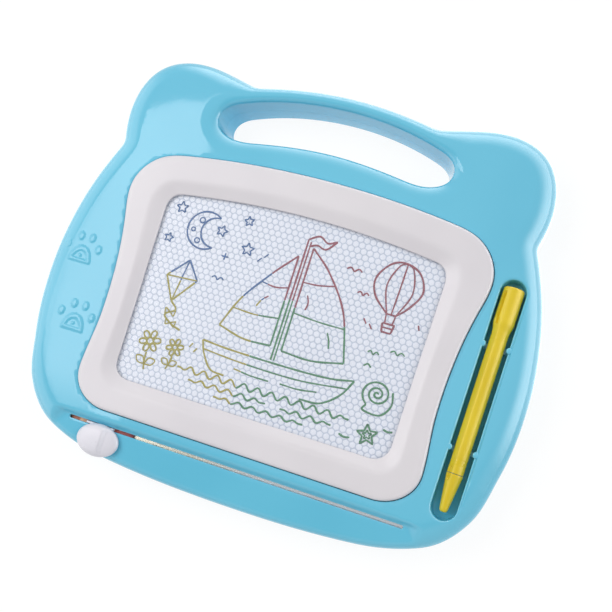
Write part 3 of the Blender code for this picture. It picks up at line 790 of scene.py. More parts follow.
@dataclass(frozen=True)
class ZincSteel:
    """Zinc-plated steel of a small screw: bright, with faint turning marks."""

    name: str = "zinc_plated_steel"
    colour: str = "C9C8C4"
    marks: float = 0.4 * MM

    def material(self) -> Material:
        """Build the node material.

        Returns:
            The material.
        """
        made, tree, shader = new_tree(self.name)
        gloss = unevenness(tree, self.marks, 0.25, 0.42)
        connect(tree, shader, {"Base Color": linear(self.colour), "Metallic": 1.0, "Roughness": gloss})
        return made


class Finish(Enum):
    """The finishes of the board."""

    SKY_BLUE = MouldedPlastic("polished_sky_blue_abs", "69C3DF", "63BEDB", roughness=0.05)
    OFF_WHITE = MouldedPlastic(
        "satin_off_white_abs", "DBD7DB", "D6D2D7", roughness=0.34, texture=0.5 * MM, texture_depth=0.01 * MM
    )
    KNOB_WHITE = MouldedPlastic("cool_white_abs", "DCDAE2", "D6D5DE", roughness=0.3, cloud=20 * MM)
    YELLOW = MouldedPlastic("satin_yellow_abs", "DFC520", "D8BD18", roughness=0.32, ior=1.46, cloud=30 * MM)
    # The carrier's pale peach stops at 0.2 and 0.27 are a painted highlight; the other stops run from brown
    # to dark red, darker towards the right end.
    CARRIER = FadingPlastic(
        "brown_red_carrier_with_painted_highlight",
        (
            (0.0, "B9725A"), (1.0, "7E2A34"), (0.17, "B5694F"), (0.2, "EFC09C"),
            (0.27, "DDA384"), (0.31, "8C4A38"), (0.73, "C4625A"),
        ),
        -95 * MM,
        -55 * MM,
    )
    RAIL = PlatedPlastic()
    CELLS = CellSheet()
    FILM = ClearFilm()
    BLUE_LINE = DrawnLine("blue_powder_line", "1F5088", "4672A4")
    RED_LINE = DrawnLine("dark_red_powder_line", "781F30", "9A4453")
    OLIVE_LINE = DrawnLine("olive_powder_line", "948A08", "A8A032")
    GREEN_LINE = DrawnLine("green_powder_line", "1C6A38", "4A8A5C")
    MAGNET = MouldedPlastic("ferrite_rubber", "2A2624", "201D1C", roughness=0.6, cloud=10 * MM)
    STEEL = ZincSteel()


MADE: dict[Finish, Material] = {}


def dress(item: bpy.types.Object, finish: Finish) -> None:
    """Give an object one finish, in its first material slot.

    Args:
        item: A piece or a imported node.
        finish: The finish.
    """
    if finish not in MADE:
        MADE[finish] = finish.value.material()
    if item.data.materials:
        item.data.materials[0] = MADE[finish]
    else:
        item.data.materials.append(MADE[finish])


BODY_KNOTS: Knots = (
    (0.000, 0.000, 0), (0.533, 0.015, 6.5), (0.769, 0.052, 24), (0.916, 0.138, 61),
    (0.969, 0.246, 76.5), (1.000, 0.423, 90), (0.970, 0.585, 101.5), (0.882, 0.745, 113),
    (0.879, 0.768, 76), (0.897, 0.847, 91.5), (0.818, 0.966, 138), (0.651, 1.000, 179),
    (0.403, 0.973, 194), (0.359, 0.973, 168), (0.000, 0.9965, 180),
)
BEZEL_KNOTS: Knots = (
    (0.000, 0.000, 0), (0.728, 0.000, 0), (0.935, 0.124, 90), (0.917, 0.327, 90),
    (0.973, 0.689, 77), (1.000, 0.799, 91), (0.900, 0.925, 143), (0.708, 0.966, 171.5),
    (0.000, 1.000, 180),
)
WINDOW_KNOTS: Knots = (
    (0.000, 0.000, 0), (0.857, 0.000, 0), (0.972, 0.077, 89), (0.980, 0.331, 89),
    (0.994, 0.693, 89), (1.000, 0.860, 90), (0.967, 0.930, 135), (0.888, 0.953, 172),
    (0.000, 1.000, 180),
)
OPENING_KNOTS: Knots = (
    (0.000, 0.158, 0), (0.599, 0.039, 351), (0.763, 0.000, 0), (1.000, 0.362, 92),
    (0.868, 0.678, 160), (0.000, 1.000, 180),
)


@dataclass(frozen=True)
class BoardPlan:
    """Plan outlines and heights that the pieces share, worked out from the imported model's boxes."""

    opening_width: float = 133.6 * MM
    opening_height: float = 30.4 * MM
    opening_taper: float = 0.05
    neck: float = 10.7 * MM
    sheet_border: float = 5.2 * MM
    slot_inset: float = 8.5 * MM
    slot_offset: float = 8.5 * MM
    slot_width: float = 1.7 * MM
    spacing: float = 1.5 * MM
    steps: int = 14
    fine_steps: int = 30

    @property
    def casing(self) -> tuple[Vector, Vector]:
        """Box of the front casing."""
        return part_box("front_casing")

    @property
    def frame_box(self) -> tuple[Vector, Vector]:
        """Box of the bezel."""
        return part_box("bezel")

    @property
    def middle_y(self) -> float:
        """Y of the middle of the bezel, from which places on the board are measured."""
        return (self.frame_box[0].y + self.frame_box[1].y) / 2

    @property
    def parting(self) -> float:
        """Height of the line where the two halves of the body meet."""
        return self.casing[0].z

    @property
    def top(self) -> float:
        """Height of the bezel's rim."""
        return self.frame_box[1].z

    def body(self) -> Array:
        """Outline of the body."""
        low, high = self.casing
        fine = mirrored(BODY_KNOTS, high.x, low.y, high.y - low.y, self.fine_steps)
        return evened(fine, self.spacing)

    def bezel(self) -> Array:
        """Outline of the bezel."""
        low, high = self.frame_box
        return mirrored(BEZEL_KNOTS, high.x, low.y, high.y - low.y, self.steps)

    def window(self) -> Array:
        """Outline of the screen window."""
        low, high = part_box("screen_front_film")
        bottom = low.y + self.sheet_border
        length = high.y - self.sheet_border - bottom
        return mirrored(WINDOW_KNOTS, high.x - self.sheet_border, bottom, length, self.steps)

    def opening(self) -> Array:
        """Outline of the handle's opening at the face."""
        bottom, half = self.frame_box[1].y + self.neck, self.opening_width / 2
        fine = mirrored(OPENING_KNOTS, half, bottom, self.opening_height, self.fine_steps)
        return evened(fine, self.spacing)

    def tapered(self, outline: Array, height: float | Array) -> Array:
        """Narrow the opening's outline evenly towards the back, as its mould's draft does.

        Args:
            outline: The opening's outline at the face.
            height: Height of its points, one for all or one each.

        Returns:
            The ring at that height.
        """
        heights = np.broadcast_to(height, len(outline))
        share = 1 - self.opening_taper * (self.casing[1].z - heights) / self.casing[1].z
        return np.c_[outline[:, 0] * share, outline[:, 1], heights]

    @property
    def slot_y(self) -> float:
        """Y of the middle of the eraser's slot."""
        return self.frame_box[0].y - self.slot_offset

    @property
    def slot_half(self) -> float:
        """Half the length of the eraser's slot."""
        return self.frame_box[1].x - self.slot_inset


PLAN = BoardPlan()


@dataclass(frozen=True)
class PawPrint:
    """A raised print on the left cheek: a hollow-topped pad and four toes."""

    x: float
    y: float
    half_width: float = 7.0 * MM
    half_length: float = 5.2 * MM
    rise: float = 0.38 * MM
    edge: float = 1.1 * MM
    hollow_start: float = 1.7 * MM
    hollow_share: float = 0.75
    bead: tuple[float, float, float] = (-0.2 * MM, 4.2 * MM, 1.2 * MM)
    bead_share: float = 0.6
    toe_half: tuple[float, float] = (2.1 * MM, 2.9 * MM)
    toes: tuple[tuple[float, float], ...] = (
        (-9.1 * MM, 5.1 * MM), (-3.1 * MM, 10.6 * MM), (3.7 * MM, 10.8 * MM), (9.2 * MM, 5.4 * MM),
    )

    def relief(self, places: Array) -> Array:
        """Work out how far the print stands up.

        Formula: a half ellipse over a flat base, its rim eased up over the edge width and its
        middle sunk again round a small bead; each toe is an ellipse eased the same way.

        Args:
            places: Array of n by 2.

        Returns:
            Array of n heights above the face.
        """
        middle = PLAN.middle_y + self.y
        x, y = places[:, 0] - self.x, places[:, 1] - middle + self.half_length * 0.8
        reach = 1 - np.sqrt((x / self.half_width) ** 2 + (y / (2 * self.half_length)) ** 2)
        depth = np.minimum(reach * self.half_length * 1.3, y)
        hollow = self.hollow_share * smoothstep((depth - self.hollow_start) / self.edge)
        bead_x, bead_y, bead_radius = self.bead
        bead = smoothstep((1 - np.hypot(x - bead_x, y - bead_y) / bead_radius) * 1.5)
        found = smoothstep(depth / self.edge) - hollow + self.bead_share * bead
        for toe_x, toe_y in self.toes:
            across = (places[:, 0] - self.x - toe_x) / self.toe_half[0]
            along = (places[:, 1] - middle - toe_y) / self.toe_half[1]
            found = np.maximum(found, smoothstep((1 - np.hypot(across, along)) * 2))
        return found * self.rise


@dataclass
class FrontCasing:
    """The blue front half: rounded edge, face, handle opening, well, pen recess, chin and slot."""

    side: float = 3.3 * MM
    edge_width: float = 12.5 * MM
    edge_rise: float = 10.0 * MM
    rim_width: float = 9.5 * MM
    rim_depth: float = 3.4 * MM
    narrow_shares: tuple[float, float] = (0.6, 0.36)
    chin_drop: float = 3.55 * MM
    chin_end: float = 1.2 * MM
    chin_splay: float = 0.8
    chin_soft: float = 1.6 * MM
    chin_fade: tuple[float, float] = (9.5 * MM, 3.8 * MM)
    chin_fall: float = 0.05
    well_gap: float = 0.4 * MM
    well_rim: float = 0.4 * MM
    shelf_width: float = 7.0 * MM
    shelf_gap: float = 0.3 * MM
    wall: float = 1.5 * MM
    recess_rim: float = 1.1 * MM
    recess_corner: float = 1.5 * MM
    recess_gap: float = 0.3 * MM
    recess_radius: float = 6.5 * MM
    recess_half: float = 62.3 * MM
    slot_corner: float = 0.5 * MM
    slot_rim: float = 0.25 * MM
    slot_depth: float = 2.0 * MM
    lip: float = 0.35 * MM
    edge_seeds: tuple[float, ...] = (1.6, 2.2, 3.0, 3.9, 4.9, 6.0, 7.2, 8.5, 9.8, 11.2, 12.6, 15.5)
    rim_seeds: tuple[float, ...] = (1.5, 2.2, 3.0, 3.9, 4.9, 6.0, 7.2, 8.5, 9.8)
    edge_spacing: float = 1.9 * MM
    rim_spacing: float = 1.6 * MM
    face_pitch: float = 3.2 * MM
    print_pitch: float = 0.5 * MM
    corner_pitch: float = 0.9 * MM
    strip_pitch: float = 1.2 * MM
    least_gap: float = 0.42 * MM
    prints: tuple[PawPrint, ...] = (
        PawPrint(-116.6 * MM, 0.6 * MM),
        PawPrint(-107.3 * MM, -36.2 * MM),
    )
    body: Array = field(default_factory=PLAN.body)
    opening: Array = field(default_factory=PLAN.opening)

    @property
    def side_top(self) -> float:
        """Height where the upright side turns into the rounded edge."""
        return PLAN.parting + self.side

    @property
    def chin(self) -> float:
        """Height of the lowered chin."""
        return self.side_top + self.edge_rise - self.chin_drop

    def chin_level(self, places: Array) -> Array:
        """Work out a surface that is the chin's level on the chin and climbs round it.

        Formula: the chin's height, which falls a little towards the outer edge, plus a rise
        eased over a distance; that distance is the root of the squares of the way past the
        slot's far edge and the way past the splayed end, each as a share of its own fade.

        Args:
            places: Array of n by 2.

        Returns:
            Array of n heights.
        """
        past = places[:, 1] - PLAN.slot_y - PLAN.slot_width / 2
        half = PLAN.slot_half + self.chin_end + np.maximum(-past, 0) * self.chin_splay
        beyond = (np.abs(places[:, 0]) - half) / math.hypot(1, self.chin_splay)
        away = np.hypot(np.maximum(beyond, 0) / self.chin_fade[0], np.maximum(past, 0) / self.chin_fade[1])
        rise = (self.chin_drop + self.chin_soft) * smoothstep(away)
        return self.chin - self.chin_fall * np.maximum(-past, 0) + rise

    def widths(self, to_edge: Array, to_opening: Array) -> tuple[Array, Array]:
        """Work out how wide the rounded edge and the opening's rim are, both narrower on the bar."""
        edge, rim = (share * (to_edge + to_opening) for share in self.narrow_shares)
        return np.minimum(self.edge_width, edge), np.minimum(self.rim_width, rim)

    def smooth_face(self, places: Array) -> Array:
        """Work out the face without its openings' rims.

        Formula: a quarter ellipse over the edge width, flat beyond it; the lower of that and
        the chin's level, with their meeting rounded; plus the prints.

        Args:
            places: Array of n by 2.

        Returns:
            Array of n heights.
        """
        depth = distance_to(places, self.body)
        width, _ = self.widths(depth, distance_to(places, self.opening))
        share = np.clip(depth / width, 0, 1)
        face = self.side_top + self.edge_rise * np.sqrt(1 - (1 - share) ** 2)
        chin = self.chin_level(places)
        soft = self.chin_soft
        blend = np.maximum(soft - np.abs(face - chin), 0)
        height = np.minimum(face, chin) - blend**2 / (4 * soft)
        for paw in self.prints:
            height += paw.relief(places)
        return height

    def height(self, places: Array) -> Array:
        """Work out the face with the handle opening's rim.

        Formula: the smooth face less a quarter-ellipse drop over the rim's width.

        Args:
            places: Array of n by 2.

        Returns:
            Array of n heights.
        """
        gap = distance_to(places, self.opening)
        _, width = self.widths(distance_to(places, self.body), gap)
        reach = np.clip(gap / width, 0, 1)
        return self.smooth_face(places) - self.rim_depth * quarter_round(reach)

    def recess(self) -> Array:
        """Outline of the pen's recess, turned to the pen's lean."""
        return PEN.place_flat(round_ended(self.recess_half, self.recess_radius))

    def sharp_rim(self, loop: Array, radius: float) -> list[Array]:
        """Round an opening's edge by a small radius.

        Args:
            loop: The opening's outline.
            radius: The rounding's radius.

        Returns:
            Rings from the upright wall to the face.
        """
        rings = []
        for outward, below in rounding(0, 30, 60):
            grown = moved_in(loop, -radius * outward)
            rings.append(lifted(grown, self.smooth_face(grown) - radius * below))
        outer = moved_in(loop, -radius)
        return [*rings, lifted(outer, self.height(outer))]

    def seeds(self, loops: Sequence[Array]) -> Array:
        """Choose where the face gets points: close together where it bends.

        Args:
            loops: The outer loop and the holes' loops that bound the face.

        Returns:
            Array of n by 2.
        """
        low, high = PLAN.casing
        found = [evened(moved_in(self.body, depth * MM), self.edge_spacing) for depth in self.edge_seeds]
        for depth in self.rim_seeds:
            found.append(evened(moved_in(self.opening, -depth * MM), self.rim_spacing))
        found.append(lattice(low, high, self.face_pitch))
        for paw in self.prints:
            corner = np.array([paw.x, PLAN.middle_y + paw.y])
            found.append(lattice(corner - [13 * MM, 6 * MM], corner + [12 * MM, 15 * MM], self.print_pitch))
        for left in (-116 * MM, 90 * MM):
            right, top = left + 26 * MM, PLAN.slot_y + 6 * MM
            found.append(lattice((left, low.y), (right, top), self.corner_pitch))
        strip = PLAN.slot_y + PLAN.slot_width / 2
        found.append(lattice((-92 * MM, strip), (92 * MM, strip + 5 * MM), self.strip_pitch))
        places = kept_between(np.vstack(found), loops, (0.5 * MM, 0.35 * MM))
        _, first = np.unique(np.round(places / self.least_gap), axis=0, return_index=True)
        return places[np.sort(first)]

    def outer_rings(self) -> list[Array]:
        """Work out rings of the side and of the rounded edge's steep part, up to where the face begins.

        Returns:
            The rings, from the parting line upwards.
        """
        foot = ((self.lip, PLAN.parting), (0.0, PLAN.parting + self.lip), (0.0, self.side_top))
        rings = [lifted(moved_in(self.body, inset), height) for inset, height in foot]
        away = distance_to(self.body, self.opening)
        width, _ = self.widths(np.zeros(len(away)), away)
        for inward, below in rounding(7, 14, 21, 28, 35):
            ring = moved_in(self.body, width[:, None] * inward)
            rings.append(lifted(ring, self.side_top + self.edge_rise * (1 - below)))
        rings[-1][:, 2] = self.height(rings[-1][:, :2])
        return rings

    def opening_rings(self) -> list[Array]:
        """Work out rings of the opening's wall and rim, up to where the face begins.

        Returns:
            The rings, from the parting line upwards.
        """
        rings = [PLAN.tapered(self.opening, PLAN.parting + rise * MM) for rise in (-0.2, 0.0, 0.3)]
        edge = self.smooth_face(self.opening) - self.rim_depth
        rings += [lifted(self.opening, edge - 0.4 * MM), lifted(self.opening, edge)]
        away = distance_to(self.opening, self.body)
        _, width = self.widths(away, np.zeros(len(away)))
        for outward, below in rounding(7, 14, 21, 28, 35):
            grown = moved_in(self.opening, -width[:, None] * outward)
            rings.append(lifted(grown, self.smooth_face(grown) - self.rim_depth * below))
        rings[-1][:, 2] = self.height(rings[-1][:, :2])
        return rings

    def build(self) -> Items:
        """Build the skin and give it its wall.

        Returns:
            The skin.
        """
        well = moved_in(PLAN.bezel(), -self.well_gap)
        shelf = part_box("screen_back_film")[0].z - self.shelf_gap
        under = [lifted(moved_in(well, self.shelf_width), shelf), lifted(well, shelf)]
        recess = self.recess()
        floor = PEN.z - PEN.head_radius - self.recess_gap
        corner = ((1.0, 0.0), (0.3, 0.3), (0.0, 1.0))
        base = [
            lifted(moved_in(recess, self.recess_corner * inset), floor + self.recess_corner * rise)
            for inset, rise in corner
        ]
        slot = round_cornered((PLAN.slot_half, PLAN.slot_width / 2), (0, PLAN.slot_y), self.slot_corner)
        slot = evened(slot, 1.2 * MM)
        bottom = lifted(slot, self.chin - self.slot_depth)
        walls = [
            self.outer_rings(),
            self.opening_rings(),
            under + self.sharp_rim(well, self.well_rim),
            base + self.sharp_rim(recess, self.recess_rim),
            [bottom, *self.sharp_rim(slot, self.slot_rim)],
        ]
        loops = [rings[-1][:, :2] for rings in walls]
        parts = [grid(rings) for rings in walls]
        parts.append(filled([base[0][:, :2]], np.empty((0, 2)), lambda places: floor))
        parts.append(filled(loops, self.seeds(loops), self.height))
        item = new_piece("casing_front", parts, "casing", thickness=self.wall)
        dress(item, Finish.SKY_BLUE)
        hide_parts("front_casing")
        return [item]


@dataclass
class PenPlan:
    """Where the pen lies and how its radius runs along it."""

    length: float = 116.4 * MM
    head_radius: float = 5.4 * MM
    radius: float = 4.4 * MM
    lean: float = math.radians(1.8)
    offset: float = 9.5 * MM

    @property
    def x(self) -> float:
        """X of the pen's middle."""
        return PLAN.frame_box[1].x + self.offset

    @property
    def y(self) -> float:
        """Y of the pen's middle."""
        low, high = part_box("pen_nose")[0].y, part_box("pen_barrel")[1].y
        return (low + high) / 2

    @property
    def z(self) -> float:
        """Height of the pen's axis."""
        low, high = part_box("pen_barrel")
        return (low.z + high.z) / 2

    def place_flat(self, outline: Array) -> Array:
        """Turn plan points from the pen's own frame to the board's.

        Args:
            outline: Points across and along the pen.

        Returns:
            Their X and Y.
        """
        cos, sin = math.cos(self.lean), math.sin(self.lean)
        x = outline[:, 0] * cos + outline[:, 1] * sin + self.x
        return np.c_[x, outline[:, 1] * cos - outline[:, 0] * sin + self.y]


PEN = PenPlan()


@dataclass
class RecessFittings:
    """The ribs that carry the pen and the small nubs that hold it in its recess."""

    along: float = 27.0 * MM
    rib_half: float = 1.5 * MM
    nub_radius: float = 1.7 * MM
    nub_reach: float = 1.3 * MM
    nub_height: float = 2.5 * MM
    nub_edge: float = 0.8 * MM
    closing: float = 0.02 * MM

    def nub(self, x: float, y: float, top: float) -> Part:
        """Work out one nub: a round post whose top edge is a quarter circle.

        Args:
            x: Its middle in the pen's frame.
            y: Its middle along the pen.
            top: Height of its top.

        Returns:
            Points and faces of the closed post.
        """
        foot, radius = -self.nub_height, self.nub_radius
        profile = [(self.closing, foot), (radius * 0.9, foot), (radius, foot * 0.8)]
        profile += [(radius - self.nub_edge * i, -self.nub_edge * b) for i, b in rounding(0, 30, 60, 90)]
        profile.append((self.closing, 0.0))
        unit = unit_circle(24)
        return sealed([lifted(PEN.place_flat(unit * r + [x, y]), top + rise) for r, rise in profile])

    def build(self) -> Items:
        """Build the two ribs and four nubs as one piece.

        Returns:
            The piece.
        """
        casing = FrontCasing()
        half = casing.recess_radius + 0.6 * MM
        foot, top = -PEN.head_radius - 1 * MM, -PEN.radius - 0.3 * MM
        edge = 0.3 * MM
        parts: list[Part] = []
        for along in (-self.along, self.along):
            block = round_cornered((half, self.rib_half), (0, along), 0.4 * MM)
            steps = ((0.0, foot), (0.0, top - edge), (edge, top))
            plans = [(PEN.place_flat(moved_in(block, inset)), PEN.z + rise) for inset, rise in steps]
            parts.append(sealed([lifted(plan, height) for plan, height in plans]))
            for side in (-1, 1):
                x = side * (casing.recess_radius + self.nub_radius - self.nub_reach)
                face = casing.smooth_face(PEN.place_flat(np.array([[x, along]])))[0]
                parts.append(self.nub(x, along, face - 0.1 * MM))
        item = new_piece("recess_ribs_and_nubs", parts, "casing")
        dress(item, Finish.SKY_BLUE)
        return [item]


@dataclass
class BackCover:
    """The blue back half: flat back, rounded edge, handle opening and screw wells."""

    rounding: float = 5.0 * MM
    least_rounding: float = 1.6 * MM
    well_margin: float = 0.9 * MM
    flare: float = 1.0 * MM
    wall: float = 1.8 * MM
    well_radius: float = 3.0 * MM
    well_depth: float = 9.4 * MM
    well_rim: float = 0.4 * MM
    hole_radius: float = 1.65 * MM
    lip: float = 0.35 * MM

    def screw_places(self) -> list[tuple[float, float]]:
        """Middles of the eight screws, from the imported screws' boxes."""
        boxes = [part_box(f"screw_{number}") for number in range(1, 9)]
        return [((low.x + high.x) / 2, (low.y + high.y) / 2) for low, high in boxes]

    def rounding_at(self, outline: Array) -> Array:
        """Radius of the back's edge at each point of the outline, smaller beside a screw well."""
        away = np.linalg.norm(outline[:, None] - np.array(self.screw_places()), axis=2).min(1)
        return np.clip(away - self.well_radius - self.well_margin, self.least_rounding, self.rounding)

    def edge_rings(self, outline: Array, radius: Array, top: float) -> list[Array]:
        """Work out rings that run down a side and round to the flat back.

        Formula: the inset is the radius times one less the sine, and the height the radius
        times one less the cosine, of an angle that runs from 90 to 0 degrees.

        Args:
            outline: The side's outline.
            radius: The edge's radius at each point; a negative one flares an opening.
            top: Height of the parting line.

        Returns:
            The rings, from the parting line to the back.
        """
        none = np.zeros(len(outline))
        opens = radius[0] < 0
        if opens:
            plan = [(none, top - drop * MM) for drop in (0.0, 0.2, 0.6)]
        else:
            plan = [(none + self.lip, top), (none, top - self.lip), (none, top - 0.6 * MM)]
        shares = rounding(90, 75, 60, 45, 30, 15, 0)
        plan += [(radius * inset, np.abs(radius) * rise) for rise, inset in shares]
        raised = PLAN.tapered if opens else lifted
        return [raised(moved_in(outline, inset[:, None]), height) for inset, height in plan]

    def well(self) -> list[tuple[float, float]]:
        """Profile of a screw's well from its hole down to the back, as radii and heights."""
        hole, radius, depth, rim = self.hole_radius, self.well_radius, self.well_depth, self.well_rim
        floor = [(hole, depth + 1 * MM), (hole, depth), (radius, depth)]
        return floor + [(radius, rim), (radius + 0.3 * rim, 0.3 * rim), (radius + rim, 0.0)]

    def build(self) -> Items:
        """Build the skin and give it its wall.

        Returns:
            The skin.
        """
        top = min(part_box("back_cover")[1].z, PLAN.parting - 0.3 * MM)
        body, opening = PLAN.body(), PLAN.opening()
        unit = unit_circle(40)
        walls = [
            self.edge_rings(body, self.rounding_at(body), top),
            self.edge_rings(opening, np.full(len(opening), -self.flare), top),
        ]
        for place in self.screw_places():
            walls.append([lifted(unit * radius + place, height) for radius, height in self.well()])
        loops = [rings[-1][:, :2] for rings in walls]
        low, high = PLAN.casing
        seeds = kept_between(lattice(low, high, 6 * MM), loops, (2 * MM, 1.5 * MM))
        parts = [grid(rings) for rings in walls]
        parts.append(filled(loops, seeds, lambda places: 0.0))
        item = new_piece("casing_back", parts, "casing", thickness=self.wall, facing=-1)
        dress(item, Finish.SKY_BLUE)
        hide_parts("back_cover")
        return [item]


@dataclass
class ScrewSet:
    """Eight self-tapping screws with cross recesses, whose heads lie in the back cover's wells."""

    head_radius: float = 2.7 * MM
    shank_radius: float = 1.3 * MM
    head_height: float = 1.7 * MM
    cross_depth: float = 1.1 * MM
    cross_half: float = 0.38 * MM
    cross_reach: float = 1.5 * MM
    cross_ease: float = 0.12 * MM
    dome: float = 0.35 * MM
    rim: float = 0.6 * MM
    pitch: float = 1.1 * MM
    thread_depth: float = 0.22 * MM
    point: tuple[float, float] = (0.3 * MM, 0.8 * MM)

    def screw(self, place: Sequence[float], low: float, high: float) -> Part:
        """Work out one screw as a polar grid.

        Formula: the head's face is a shallow dome less the cross recess, which is eased
        away beyond half the cross's width from either arm; then the side, the underside and
        the shank, whose radius waves once in a pitch as a thread does.

        Args:
            place: X and Y of its middle.
            low: Height of the head's face.
            high: Height of the point.

        Returns:
            Points and faces of the closed screw.
        """
        unit = unit_circle(48)
        rings = []
        for radius in np.r_[0.02 * MM, np.linspace(0.15, 2.4, 16) * MM, self.head_radius - 0.1 * MM]:
            plan = unit * radius
            arm = np.abs(plan).min(1) - self.cross_half
            end = smoothstep((self.cross_reach - radius) / (0.3 * MM) + 0.5)
            cut = smoothstep(-arm / self.cross_ease + 0.5) * end
            dome = self.dome * (radius / self.head_radius) ** 2
            rings.append(lifted(plan, low + dome + self.cross_depth * cut))
        under = low + self.head_height
        side = [(self.head_radius, low + self.rim), (self.head_radius, under), (self.shank_radius, under)]
        for height in np.arange(under + 0.2 * MM, high - self.point[1], self.pitch / 6):
            wave = 0.5 - 0.5 * math.cos(2 * math.pi * (height - under) / self.pitch)
            side.append((self.shank_radius - self.thread_depth * wave, float(height)))
        side.append((self.point[0], high))
        rings += [lifted(unit * radius, height) for radius, height in side]
        return sealed([ring + [*place, 0] for ring in rings])

    def build(self) -> Items:
        """Build each screw as a piece of its own.

        Returns:
            The eight screws.
        """
        found = []
        for number, place in enumerate(BackCover().screw_places(), 1):
            low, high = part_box(f"screw_{number}")
            item = new_piece(f"tapping_screw_{number}", [self.screw(place, low.z, high.z)], "casing")
            dress(item, Finish.STEEL)
            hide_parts(f"screw_{number}")
            found.append(item)
        return found


@dataclass
class Bezel:
    """The off-white frame: rounded rim, a broad flat band and a slope down to the window."""

    rim: float = 1.6 * MM
    wall: float = 1.8 * MM
    flat_fall: float = 0.25 * MM
    slope_start: float = 0.56
    slope_ease: float = 0.5
    lip: float = 0.7 * MM
    tab_half: float = 4.5 * MM
    tab_thick: float = 0.7 * MM
    edge_drop: float = 1.2 * MM
    film_gap: float = 0.3 * MM

    def fall(self, share: float, drop: float) -> float:
        """Work out how far the top has fallen at a share of the way from rim to window.

        Formula: a faint even fall, and past the slope's start a fall that begins as a
        parabola and goes on as a straight line.

        Args:
            share: 0 at the rim, 1 at the window.
            drop: The whole fall.

        Returns:
            The fall there.
        """
        past = max(0.0, (share - self.slope_start) / (1 - self.slope_start))
        ease = self.slope_ease
        ramp = past**2 / (2 * ease) if past < ease else past - ease / 2
        return self.flat_fall * share + (drop - self.flat_fall) * ramp / (1 - ease / 2)

    def tabs(self, low: float, high: float) -> list[Part]:
        """Work out the five snap tabs under the frame, as small upright blocks.

        Args:
            low: Height of their feet.
            high: Height where they end in the frame.

        Returns:
            Points and faces of each.
        """
        corner = PLAN.frame_box[1]
        half_length = corner.y - PLAN.middle_y
        waist_x, waist_y, _ = BEZEL_KNOTS[3]
        waist_y = PLAN.middle_y + (waist_y - 0.5) * 2 * half_length
        edge = half_length - self.wall / 2
        waist = waist_x * corner.x - self.wall / 2
        along, across = (self.tab_half, self.tab_thick), (self.tab_thick, self.tab_half)
        places = [(side * corner.x / 2, PLAN.middle_y - edge, along) for side in (-1, 1)]
        places += [(side * waist, waist_y, across) for side in (-1, 1)]
        places.append((0.0, PLAN.middle_y + edge, along))
        outlines = [round_cornered(half, (x, y), 0.3 * MM) for x, y, half in places]
        return [sealed([lifted(outline, low), lifted(outline, high)]) for outline in outlines]

    def build(self) -> Items:
        """Build the frame as a closed loft, from its foot over the rim and the window and back below.

        Returns:
            The frame.
        """
        outer, window = PLAN.bezel(), PLAN.window()
        low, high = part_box("screen_back_film")[0].z, PLAN.top
        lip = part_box("screen_front_film")[1].z + self.film_gap
        edge = lip + self.edge_drop
        drop = high - edge
        rings = [(outer, low)]
        for inward, below in rounding(0, 15, 30, 45, 60, 75, 90):
            rings.append((moved_in(outer, self.rim * inward), high - self.rim * below))
        start, end = moved_in(outer, self.rim), moved_in(window, -self.lip)
        for share in (*np.linspace(0.08, 0.48, 5), *np.linspace(0.5, 1.0, 19)):
            rings.append((start + (end - start) * share, high - self.fall(share, drop)))
        for below, outward in rounding(30, 60, 90):
            rings.append((moved_in(window, -self.lip * outward), edge - self.lip * below))
        rings += [(window, lip + 0.1 * MM), (moved_in(window, -0.1 * MM), lip)]
        rings.append((moved_in(window, -self.wall), lip))
        for share in (0.9, 0.7, 0.5, 0.25, 0.0):
            rings.append((start + (end - start) * share, high - self.wall - self.fall(share, drop) * 0.8))
        inner = moved_in(outer, self.wall)
        rings += [(inner, high - self.wall - 1 * MM), (inner, low)]
        parts = [grid([lifted(ring, height) for ring, height in rings], closed=True)]
        parts += self.tabs(PLAN.frame_box[0].z, low + 1 * MM)
        item = new_piece("screen_frame", parts, "casing", smooth=50)
        dress(item, Finish.OFF_WHITE)
        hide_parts("bezel")
        return [item]


